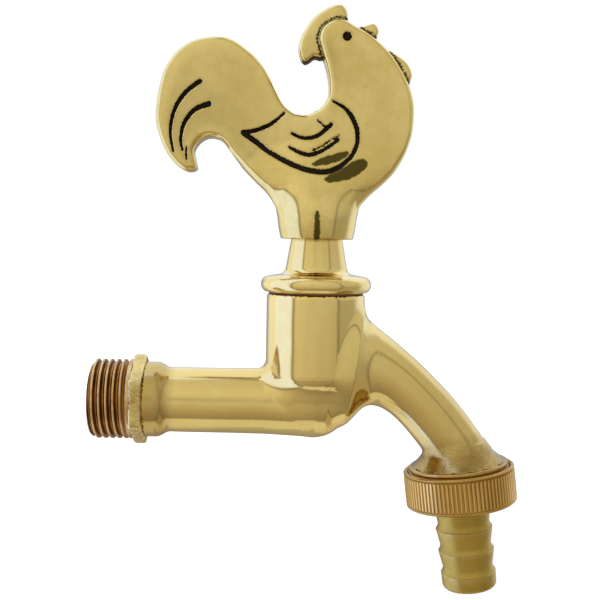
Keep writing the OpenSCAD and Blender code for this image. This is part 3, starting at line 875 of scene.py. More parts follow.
class Surface(Graph):
    """Material that is built up layer by layer."""

    stipple = 1500.0
    tarnish, tarnish_pits = (0.30, 0.18, 0.042), (0.16, 0.09, 0.02)
    # Painted shade of the thread's sides and roots.
    flank, root = (0.36, 0.16, 0.032), (0.11, 0.04, 0.01)
    # olive: painted dark reflections; black: the carving's fill, the black oxide and the painted shade
    olive, black = (0.058, 0.043, 0.007), (0.02, 0.015, 0.008)

    def __init__(self, name: str, effects: Effects) -> None:
        """Start a material."""
        self.made = bpy.data.materials.new(name)
        super().__init__(cleared(self.made))
        self.effects = effects
        self.colour: Value = WHITE
        self.rough: Value = 0.5
        self.height: Value = 0.0

    def effect(self, group: EffectGroup, **inputs: Value) -> dict[str, Term]:
        """Outputs of a shared effect."""
        return self.terms(self.add("ShaderNodeGroup", inputs, node_tree=group.tree))

    def stored(self, name: str) -> Term:
        """Value that the mesh keeps at each point."""
        return self.out("ShaderNodeAttribute", output="Fac", attribute_name=name)

    def tint(self, share: Value, tone: Value) -> None:
        """Mix a share of a tone into the colour."""
        self.colour = self.mix(share, self.colour, tone)

    def browned(self, mask: Term) -> None:
        """Add tarnish, with a speckled skin where it is thick."""
        share = self.stored("tarnish")
        skin = self.effect(self.effects.casting, Grain=self.stipple)
        brown = self.math("MINIMUM", share * (0.75 + mask * 0.7), 1.0)
        self.tint(brown, self.tarnish)
        self.tint(skin["Hollows"] * self.span(share, 0.45, 0.75, 0.0, 0.35), self.tarnish_pits)
        self.rough += brown * 0.1
        self.height += skin["Height"] * share * 0.03

    def threaded(self, mask: Term) -> None:
        """Darken the thread's sides and roots with painted shade, deeper where the metal has aged."""
        ragged = self.stored("thread_height") + (mask - 0.3) * 0.4
        # Painted shade on the thread's sides and roots.
        self.tint(self.span(ragged, 0.78, 1.05, 1.0, 0.0), self.mix(mask, self.flank, self.root))
        self.rough += self.span(ragged, 0.78, 1.05, 0.06, 0.0)

    def carved(self, polish: Term, stain: Colour) -> None:
        """Fill the carving with black, and add the painted olive reflections, the black oxide beside the head and the
        painted shade under the comb and in the back's hollow.
        """
        uneven = self.effect(self.effects.casting, Grain=self.stipple)["Height"] - 0.545
        reflection_mask = self.stored("dark_reflection") + (polish - 0.5) * 1.8
        ragged = self.stored("carving") + uneven * 0.7
        # Black oxide beside the head, and painted shade under the comb and in the back's hollow.
        dark = self.stored("patina_and_shade") + uneven * 1.5
        ink = self.math("MAXIMUM", self.span(ragged, -0.02, 0.1, 1.0, 0.0), self.span(dark, 0.45, 0.8, 0.0, 0.94))
        # Painted dark olive reflections.
        self.tint(self.span(reflection_mask, -0.15, 0.3, 0.96, 0.0), self.olive)
        self.tint(self.span(ragged, 0.0, 0.9, 0.22, 0.0), stain)
        self.tint(ink, self.black)
        self.rough += ink * 0.4

    def finish(self, metallic: float) -> Material:
        """Close the material."""
        relief = self.out("ShaderNodeBump", {"Height": self.height, "Distance": MM, "Strength": 1.0})
        inputs = {"Base Color": self.colour, "Roughness": self.rough, "Metallic": metallic, "Normal": relief}
        self.add("ShaderNodeOutputMaterial", {0: self.out("ShaderNodeBsdfPrincipled", inputs)})
        return self.made


@dataclass(frozen=True)
class Brass:
    """Brass in one of its finishes.

    The colours are linear. Depths of the relief are in millimetres.
    """

    name: str
    clean: Colour = (0.745, 0.575, 0.205)
    aged: Colour = (0.66, 0.475, 0.14)
    stain: Colour = (0.28, 0.18, 0.05)
    wear_and_sheen: Colour = (0.86, 0.70, 0.34)
    patches: float = 45.0
    amount: float = 0.5
    stains: float = 0.1
    rough: float = 0.07
    rough_spread: float = 0.09
    hair: float = 0.005
    streaks: float = 0.2
    pits: float = 0.3
    cast_depth: float = 0.0
    cast_grain: float = 700.0
    turn_depth: float = 0.0
    turn_axis: Triple = STEM_AXIS
    turn_pitch: float = 0.2
    # Edge lightening is wear with painted highlight; hollow darkening is grime with painted shade.
    worn: float = 0.0
    dirt_and_shade: float = 0.0
    hollow_tint: float = 0.25
    hollow_rough: float = 0.2
    groove_tint: float = 0.35
    browned: bool = False
    carved: bool = False
    threaded: bool = False
    ridged: bool = False

    def build(self, effects: Effects) -> Material:
        """Make the material, with its layers in the order in which they lie on the metal."""
        s = Surface(self.name, effects)
        tones = {"Clean": self.clean, "Aged": self.aged, "Stain": self.stain}
        age = s.effect(effects.ageing, **tones, Patches=self.patches, Amount=self.amount, Stains=self.stains)
        polish, mask = s.effect(effects.polish, Pits=self.pits), age["Mask"]
        s.colour = age["Color"]
        s.tint(polish["Streaks"] * self.streaks, self.aged)
        s.tint(polish["Holes"] * (1.6 * self.pits), self.stain)
        s.rough = self.rough + polish["Rough"] * self.rough_spread + mask * (0.5 * self.rough_spread)
        s.height = polish["Height"] * self.hair
        # Worn edges with painted highlight, and hollows with grime and painted shade.
        if self.dirt_and_shade or self.worn:
            edge = s.effect(effects.edges)
            s.tint(edge["Hollow"] * self.dirt_and_shade, self.stain)
            s.tint(edge["Worn"] * self.worn, self.wear_and_sheen)
        if self.cast_depth:
            cast = s.effect(effects.casting, Grain=self.cast_grain)
            s.height += cast["Height"] * self.cast_depth
            s.tint(cast["Hollows"] * self.hollow_tint, self.stain)
            s.rough += cast["Hollows"] * self.hollow_rough
        if self.browned:
            s.browned(mask)
        if self.turn_depth:
            lines = s.effect(effects.turning, Axis=self.turn_axis, Pitch=self.turn_pitch)
            s.height += lines["Height"] * self.turn_depth
        if self.threaded:
            s.threaded(mask)
        if self.ridged:
            # Darker towards the roots of the grooves between the ridges.
            s.tint(s.span(s.stored("ridge_height"), 0.0, 0.9, self.groove_tint, 0.0), self.stain)
        if self.carved:
            s.carved(polish["Height"], self.stain)
        return s.finish(metallic=1.0)


@dataclass(frozen=True)
class Soft:
    """Rubber or fibre."""

    name: str
    base: Colour
    bloom: Colour
    grain: float = 900.0
    rough: float = 0.55
    depth: float = 0.02

    def build(self, effects: Effects) -> Material:
        """Make the material."""
        s = Surface(self.name, effects)
        age = s.effect(effects.ageing, Clean=self.base, Aged=self.bloom, Stain=self.base, Patches=150.0)
        s.colour = age["Color"]
        s.rough = self.rough + age["Mask"] * 0.2
        s.height = s.effect(effects.casting, Grain=self.grain)["Height"] * self.depth
        return s.finish(metallic=0.0)


POLISHED = Brass("polished_cast_brass", browned=True)
CARVED = Brass("polished_carved_brass", aged=(0.58, 0.425, 0.11), carved=True, stains=0.2, amount=0.75)
PITTED = Brass(
    "pitted_cast_brass", clean=(0.74, 0.57, 0.21), aged=(0.42, 0.28, 0.08), stain=(0.14, 0.08, 0.02), patches=85.0,
    amount=0.8, stains=0.5, rough=0.12, rough_spread=0.14, pits=0.05, cast_depth=0.03, cast_grain=1400.0, worn=0.8,
)  # fmt: skip
THREADED = Brass(
    "dark_threaded_brass", clean=(0.74, 0.56, 0.22), aged=(0.46, 0.27, 0.09), stain=(0.10, 0.045, 0.015),
    patches=120.0, amount=0.7, stains=0.4, rough=0.2, rough_spread=0.2, threaded=True, turn_depth=0.004,
    turn_axis=(1.0, 0.0, 0.0),
)  # fmt: skip
SATIN_RIDGED = Brass(
    "satin_ridged_brass", clean=(0.65, 0.39, 0.085), aged=(0.48, 0.27, 0.055), stain=(0.16, 0.085, 0.02),
    patches=90.0, amount=0.7, stains=0.25, rough=0.26, rough_spread=0.15, turn_depth=0.006, turn_axis=OUTLET_AXIS,
    ridged=True, worn=0.2, dirt_and_shade=0.6,
)  # fmt: skip
SATIN_OLIVE = Brass(
    "satin_olive_brass", clean=(0.44, 0.295, 0.055), aged=(0.34, 0.22, 0.035), stain=(0.15, 0.09, 0.015),
    patches=80.0, amount=0.6, stains=0.2, rough=0.33, rough_spread=0.12, turn_depth=0.012, turn_axis=OUTLET_AXIS,
    turn_pitch=0.26, worn=0.5, dirt_and_shade=0.6,
)  # fmt: skip
OUTLET_BRASS = Brass(
    "machined_outlet_brass", clean=(0.48, 0.30, 0.08), aged=(0.32, 0.18, 0.045), stains=0.4, rough=0.22, dirt_and_shade=0.6,
    turn_depth=0.004, turn_axis=OUTLET_AXIS,
)  # fmt: skip
BONNET_BRASS = Brass("polished_bonnet_brass", turn_depth=0.003, stains=0.5, amount=0.7)
TURNED_STEM = Brass("turned_stem_brass", amount=0.6, rough=0.2, turn_depth=0.012, dirt_and_shade=0.5)
TURNED_SCREW = replace(TURNED_STEM, name="turned_screw_brass", rough=0.22, turn_axis=(0.0, 1.0, 0.0))
RUBBER = Soft("black_rubber", (0.022, 0.022, 0.023), (0.05, 0.05, 0.052))
FIBRE = Soft("red_fibre", (0.15, 0.055, 0.028), (0.09, 0.035, 0.018), grain=1600.0, rough=0.7, depth=0.05)


def dress(piece: Piece, finish: Material) -> None:
    """Give a whole piece one material."""
    piece.data.materials.clear()
    piece.data.materials.append(finish)


def carry(piece: Piece, body: Body, slot: Slot, *nodes: str) -> None:
    """Let a piece move with its body, and stand for its solids.

    Args:
        piece: The piece.
        body: The body that it rides on.
        slot: The record's slot of its finish; not used.
        nodes: The solids that it stands for.
    """
    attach(piece, body.value)
    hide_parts(*nodes)
    triangles = sum(len(face.vertices) - 2 for face in piece.data.polygons)
    log.info("%s: %d triangles on %s", piece.name, triangles, body.value)


# ---------------------------------------------------------------- the tap's sub-assemblies


@dataclass
class Axes:
    """Places of the tap's two working axes."""

    stem_x: float = 47.6
    outlet_x: float = 86.3
    outlet_z: float = -16.6

    def stem(self, z: float) -> Matrix:
        """Place on the stem axis."""
        return Matrix.Translation((self.stem_x, 0, z))

    def outlet(self) -> Matrix:
        """Place on the outlet axis."""
        side = (math.cos(OUTLET_TILT), 0.0, math.sin(OUTLET_TILT))
        return place(side, OUTLET_AXIS, (self.outlet_x, 0, self.outlet_z))

    def from_stem(self, p: Points) -> Points:
        """Distance of points from the stem axis."""
        return np.hypot(p[:, 0] - self.stem_x, p[:, 1])

    def along_outlet(self, p: Points) -> tuple[Points, Points]:
        """Distance from the outlet axis, and height along it."""
        dx, dz = p[:, 0] - self.outlet_x, p[:, 2] - self.outlet_z
        sin, _, cos = OUTLET_AXIS
        return np.hypot(dx * -cos + dz * sin, p[:, 1]), dx * sin + dz * cos


@dataclass
class Assembly:
    """Sub-assembly of the tap, with what it is made with."""

    axes: Axes
    shop: Workshop
    effects: Effects


@dataclass
class Spout:
    """Drooping spout: an oval tube along one curve."""

    root: float = 14.0
    end: float = 15.2
    flare: float = 8.4
    flare_len: float = 0.70
    flare_soft: float = 0.035
    side_share: float = 0.4
    wall: float = 2.1
    start: tuple[float, float] = (57.7, 9.5)
    finish: tuple[float, float] = (87.8, -15.0)
    lead: float = 5.0
    lead_angle: float = 10.0
    tail: float = 30.0
    tail_angle: float = 56.0
    samples: int = 90
    starts_x: float = 38.0
    back_len: float = 7.0
    front_len: float = 0.3
    pipe_len: float = 4.0
    taper_high: float = 0.15
    taper_wide: float = 0.12
    least_r: float = 2.0

    def __post_init__(self) -> None:
        """Work out points and directions along the curve."""
        a, d = np.array(self.start), np.array(self.finish)
        out, back = math.radians(self.lead_angle), math.radians(self.tail_angle)
        b = a + self.lead * np.array([math.cos(out), -math.sin(out)])
        c = d - self.tail * np.array([math.cos(back), -math.sin(back)])
        self.corners = (a, b, c, d)
        self.t = np.linspace(0, 1, self.samples)
        self.line, _ = self.at(self.t)

    def at(self, t: Points) -> tuple[Points, Points]:
        """Points of the curve, and its slope there."""
        a, b, c, d = self.corners
        t, s = t[:, None], 1 - t[:, None]
        slope = 3 * (s**2 * (b - a) + 2 * s * t * (c - b) + t**2 * (d - c))
        return s**3 * a + 3 * s**2 * t * b + 3 * s * t**2 * c + t**3 * d, slope

    def radius(self, t: Points) -> Points:
        """Radius of the tube without its flare."""
        return (self.root + (self.end - self.root) * t) / 2

    def fields(self, p: Points) -> tuple[Points, Points]:
        """Signed distances to the spout's outside and to its waterway.

        Args:
            p: Points, three columns.

        Returns:
            Both fields.
        """
        outside, water = np.full(len(p), FAR), np.full(len(p), FAR)
        near = np.flatnonzero(p[:, 0] > self.starts_x)
        q = p[near]
        if not len(q):
            return outside, water
        flat = q[:, [0, 2]]
        gaps = ((flat[:, None, :] - self.line[None]) ** 2).sum(2)
        t = self.t[gaps.argmin(1)]
        for _ in range(3):
            spot, slope = self.at(t)
            t = np.clip(t + ((flat - spot) * slope).sum(1) / (slope**2).sum(1), 0, 1)
        spot, slope = self.at(t)
        off, way = flat - spot, slope / np.linalg.norm(slope, axis=1, keepdims=True)
        along = (off * way).sum(1)
        across = off[:, 1] * way[:, 0] - off[:, 0] * way[:, 1]
        soft = np.hypot(t, self.flare_soft) - self.flare_soft
        flare = self.flare * np.maximum(1 - soft / self.flare_len, 0) ** 2
        behind = np.where(t == 0, np.maximum(-along, 0), 0) ** 2
        high = np.maximum(self.radius(t) + flare - self.taper_high * behind, self.least_r)
        wide = np.maximum(self.radius(t) + self.side_share * flare - self.taper_wide * behind, self.least_r)
        k0 = np.hypot(across / high, q[:, 1] / wide)
        k1 = np.hypot(across / high**2, q[:, 1] / wide**2)
        oval = np.where(k0 > 1e-6, k0 * (k0 - 1) / np.maximum(k1, 1e-9), -wide)
        ended = np.abs(along)
        outside[near] = np.maximum(oval, ended - self.back_len * (t == 0) - self.front_len)
        pipe = np.hypot(across, q[:, 1]) - (self.radius(t) - self.wall)
        water[near] = np.maximum(pipe, ended - self.pipe_len)
        return outside, water


@dataclass
class TapBody(Assembly):
    """Cast body: inlet arm, barrel, spout and outlet, with the machined inlet and outlet threads."""

    spout: Spout = field(default_factory=Spout)
    thread_r: float = 10.4775
    thread_len: float = 10.7
    thread_pitch: float = 1.814
    thread_depth: float = 1.16
    first_crest: float = 0.63
    inlet_bore_r: float = 6.5
    collar_af: float = 21.0
    collar_t: float = 3.4
    boss_r: float = 9.9
    boss_end: float = 6.19
    arm_from: float = 9.8
    arm_r: float = 8.5
    arm_wide_r: float = 8.66
    bowl_r: float = 9.35
    barrel_r: float = 12.9
    barrel_foot: float = 8.0
    barrel_top: float = 28.7
    arm_fillet: float = 2.6
    arm_seam: float = 0.3
    spout_seam: float = 1.2
    spout_fillet: float = 3.3
    cast_wave: float = 0.025
    edge_r: float = 0.25
    cell: float = 0.5
    collar_cell: float = 0.32
    collar_corner: float = 0.5
    collar_edge: float = 0.75
    collar_wear: float = 0.15
    collar_lip: float = 1.2
    thread_steps: int = 144
    thread_chamfer: float = 0.9
    thread_wall: float = 1.5
    well_r: float = 6.8
    seat_z: float = 9.0
    seat_r: float = 4.5
    seat_wall: float = 1.9
    chamber_r: float = 9.4
    spigot_bore_r: float = 10.6
    spigot_z: float = 18.7
    outlet_r: float = 13.0
    outlet_thread_r: float = 13.2205
    outlet_thread_end: float = 4.6
    outlet_crest: float = 3.1
    outlet_bore_r: float = 7.8
    outlet_steps: int = 160
    cone: tuple[float, float] = (-6.2, -0.75)
    boss_tarnish: Triple = (0.52, 11.5, 8.5)
    spout_tarnish: Triple = (0.26, 58.0, 83.0)
    foot_tarnish: Triple = (1.0, -12.0, -4.0)
    foot_x: float = 70.0

    def __post_init__(self) -> None:
        """Work out the profiles that are turned round the arm, the stem and the outlet axes."""
        deep = -60.0
        long, thin = self.arm_from - self.boss_end, self.boss_r - self.arm_r
        neck = [(self.boss_end + long * t, self.boss_r - thin * ease(t)) for t in np.linspace(0, 1, 9)]
        stem, bowl = self.axes.stem_x, self.bowl_r
        inner = [(stem + dx, bowl - drop) for dx, drop in ((3, 0.9), (6, 2.8), (8, 5.5), (8.8, bowl))]
        self.arm = np.array(
            [(3.3, deep), (3.3, self.boss_r - 0.15), (3.45, self.boss_r), *neck]
            + [(34.7, self.arm_wide_r), (stem, bowl), *inner, (stem + 8.8, deep)]
        )
        wider = self.barrel_r - self.bowl_r
        foot = [(self.bowl_r + wider * ease(t), self.barrel_foot * t) for t in np.linspace(0.1, 1, 10)]
        top = self.barrel_top
        self.barrel = np.array(
            [(deep, -self.bowl_r), *arc(0, 0, self.bowl_r, -90, 0, 18), *foot]
            + [(self.barrel_r, top - 0.7), (self.barrel_r - 0.2, top - 0.2), (self.barrel_r - 0.7, top), (deep, top)]
        )
        narrow, low, high = self.spout.end / 2, *self.cone
        wider = self.outlet_r - 0.25 - narrow
        cone = [(narrow + wider * (0.75 * t + 0.25 * t**3), low + (high - low) * t) for t in np.linspace(0, 1, 11)]
        self.outlet = np.array([(deep, low), *cone, (deep, high)])

    def cavity(self, p: Points, water: Points) -> Points:
        """Everything that is hollow inside the body.

        Args:
            p: Points, three columns.
            water: Field of the spout's waterway.

        Returns:
            The signed distance, negative in the hollow.
        """
        x, y, z = p.T
        r = self.axes.from_stem(p)
        bore = np.maximum(np.hypot(y, z) - self.inlet_bore_r, x - self.axes.stem_x)
        well = np.sqrt(r**2 + z**2) - self.well_r
        seat = np.maximum(r - self.seat_r, slab(z, 0, self.seat_z + 1))
        ring = np.maximum(np.abs(r - self.seat_r - self.seat_wall / 2) - self.seat_wall / 2, z - self.seat_z)
        chamber = np.maximum(np.maximum(r - self.chamber_r, slab(z, self.seat_z - 1, self.spigot_z + 1)), -ring)
        spigot = np.maximum(r - self.spigot_bore_r, slab(z, self.spigot_z, self.barrel_top + 5))
        out_r, out_s = self.axes.along_outlet(p)
        mouth = np.maximum(out_r - self.outlet_bore_r, slab(out_s, -1.9, 9))
        hollow = join(bore, well, 0.4)
        for part in (seat, chamber, spigot, mouth):
            hollow = np.minimum(hollow, part)
        return np.minimum(hollow, water)

    def field(self, p: Points) -> Points:
        """Signed distance to the cast body.

        Args:
            p: Points, three columns.

        Returns:
            One value for each point, negative in the metal.
        """
        x, y, z = p.T
        rho = np.hypot(y, z)
        arm = outline_distance(np.stack([x, rho], 1), self.arm)
        barrel = outline_distance(np.stack([self.axes.from_stem(p), z], 1), self.barrel)
        rise = z / np.maximum(rho, 1e-6)
        lift = np.clip(0.8 + rise, 0, 1) + 0.6 * bump(rise, 0.25, 0.35)
        solid = join(arm, barrel, self.arm_seam + (self.arm_fillet - self.arm_seam) * lift)
        outside, water = self.spout.fields(p)
        out_r, out_s = self.axes.along_outlet(p)
        outlet = outline_distance(np.stack([out_r, out_s], 1), self.outlet)
        side = np.clip(np.abs(y) / 8, 0, 1)
        solid = join(solid, outside, self.spout_seam + self.spout_fillet * side)
        solid = join(solid, outlet, self.spout_seam) - self.cast_wave * waves(p, 17, 0.4)
        solid = np.maximum(solid, np.where(out_r < 20, out_s - self.cone[1], -FAR))
        return common(solid, -self.cavity(p, water), self.edge_r)

    def tarnish(self, p: Points) -> Points:
        """How far the brass has browned: at the boss, down the spout and at its foot."""
        x = p[:, 0]
        _, s = self.axes.along_outlet(p)
        kinds = (x, self.boss_tarnish), (x, self.spout_tarnish), (s, self.foot_tarnish)
        boss, down, foot = (most * ramp(v, low, high) for v, (most, low, high) in kinds)
        return np.maximum(boss, np.maximum(down, foot * (x > self.foot_x)))

    def collar_field(self, p: Points) -> Points:
        """Signed distance to the worn hexagonal collar."""
        x, y, z = p.T
        half = self.collar_af / 2
        sides = np.stack([np.abs(y * math.cos(a) + z * math.sin(a)) for a in np.radians([0, 60, 120])]).max(0) - half
        rho = np.hypot(y, z)
        worn = rho - (half / math.cos(math.radians(30)) - self.collar_wear)
        thick = slab(x, 0, self.collar_t)
        body = common(common(sides, worn, self.collar_corner), thick, self.collar_edge)
        rough = 0.05 * waves(p, 1.7, 1.1) + 0.06 * waves(p, 3.9, 0.3)
        return np.maximum(body - rough, self.inlet_bore_r + self.collar_lip - rho)

    def inlet_blank(self) -> Profile:
        """Profile of the inlet's screw blank, towards its free end."""
        end, r = self.thread_len, self.thread_r
        rows = [THREAD_STEP * k for k in range(1, int(end / THREAD_STEP))]
        low = r - self.thread_chamfer
        outer = [(r, -0.2), *[(min(r, low + (end - s)), s) for s in rows], (low, end)]
        bore = self.inlet_bore_r
        return [(bore, -0.3), *outer, (bore + 0.5, end), (bore, end - 0.5)]

    def outlet_blank(self) -> Profile:
        """Profile of the outlet's flange and screw blank."""
        r, end, lip = self.outlet_thread_r, self.outlet_thread_end, self.outlet_r
        flange = [(12.0, -1.0), (lip - 0.25, -1.0), (lip - 0.08, -0.92), (lip, -0.75), (lip, 0.12), (lip - 0.08, 0.2)]
        rows = [0.3 + THREAD_STEP * k for k in range(int((end - 0.3) / THREAD_STEP))]
        outer = [(min(r, r - 0.5 + (end - s)), s) for s in rows] + [(r - 0.5, end)]
        bore = self.outlet_bore_r
        return [(bore, -1.0), *flange, *outer, (bore + 0.4, end), (bore, end - 0.4)]

    def screw(self, name: str, profile: Profile, steps: int, finish: Brass, where: Matrix, **sizes: float) -> Piece:
        """Turn and thread one end of the body.

        Args:
            name: The piece's name.
            profile: Profile of its blank.
            steps: Steps round its axis.
            finish: Its finish.
            where: Its place.
            sizes: More sizes of the thread.

        Returns:
            The piece.
        """
        made = finish.build(self.effects)
        blank = self.shop.turn(profile, made, steps)
        mesh = self.shop.thread.run(blank, made, pitch=self.thread_pitch, depth=self.thread_depth, **sizes)
        return self.shop.piece(name, mesh, where, 60)

    def build(self) -> None:
        """Make and dress all pieces of the body."""
        skin = Skin(self.field, (2, -15, -24), (102, 15, 30), self.cell)
        cast = skin_piece("cast_tap_body", skin, {"tarnish": self.tarnish})
        dress(cast, POLISHED.build(self.effects))
        skin = Skin(self.collar_field, (-1, -13, -13), (4.4, 13, 13), self.collar_cell)
        collar = skin_piece("inlet_collar", skin)
        dress(collar, PITTED.build(self.effects))
        wall = self.thread_wall
        inlet = self.screw(
            "inlet_thread", self.inlet_blank(), self.thread_steps, THREADED, place((0, 0, 1), (-1, 0, 0), (0, 0, 0)),
            crest_radius=self.thread_r, crest_at=self.first_crest, inner_radius=self.inlet_bore_r + wall,
            fade_from=0.4, fade_to=2.4,
        )  # fmt: skip
        outlet = self.screw(
            "outlet_screw", self.outlet_blank(), self.outlet_steps, OUTLET_BRASS, self.axes.outlet(),
            crest_radius=self.outlet_thread_r, crest_at=self.outlet_crest, inner_radius=self.outlet_bore_r + wall,
            fade_from=0.3, fade_to=1.4,
        )  # fmt: skip
        for piece in (cast, collar, inlet, outlet):
            carry(piece, Body.TAP, Slot.CAST, "tap_body")


@dataclass
class Bonnet(Assembly):
    """Turned bonnet with a round bead and a long neck."""

    foot_z: float = 29.2
    height: float = 19.0
    bead_r: float = 2.2
    bead_half: float = 62.4
    bead_axis: tuple[float, float] = (12.3, 1.95)
    fillet_r: float = 2.2
    fillet_axis: tuple[float, float] = (10.15, 6.7)
    neck_r: float = 6.7
    spigot_r: float = 10.5
    spigot_len: float = 9.9
    thread_bore_r: float = 6.1
    stem_bore_r: float = 4.06
    shoulder: float = 1.4
    cover: float = 5.2
    steps: int = 160

    def profile(self) -> Profile:
        """Closed profile, from the spigot's foot up the outside and down the bores."""
        shown = self.height - self.cover
        outside = [
            (self.spigot_r - 0.4, -self.spigot_len),
            (self.spigot_r, -self.spigot_len + 0.4),
            (self.spigot_r, 0.0),
            *arc(*self.bead_axis, self.bead_r, -self.bead_half, self.bead_half, 22),
            *arc(*self.fillet_axis, self.fillet_r, 270, 185, 14),
            (self.neck_r, shown),
            (self.neck_r - 0.1, self.height - 0.5),
            (self.neck_r - 0.25, self.height - 0.15),
            (self.neck_r - 0.6, self.height),
        ]
        inside = [
            (self.stem_bore_r + 0.3, self.height),
            (self.stem_bore_r, self.height - 0.3),
            (self.stem_bore_r, self.shoulder),
            (self.thread_bore_r, self.shoulder),
            (self.thread_bore_r, -self.spigot_len + 0.4),
            (self.thread_bore_r + 0.4, -self.spigot_len),
        ]
        return outside + inside

    def build(self) -> None:
        """Turn and dress the bonnet."""
        mesh = self.shop.turn(self.profile(), BONNET_BRASS.build(self.effects), self.steps)
        piece = self.shop.piece("turned_bonnet", mesh, self.axes.stem(self.foot_z), 28)
        carry(piece, Body.TAP, Slot.CAST, "bonnet")


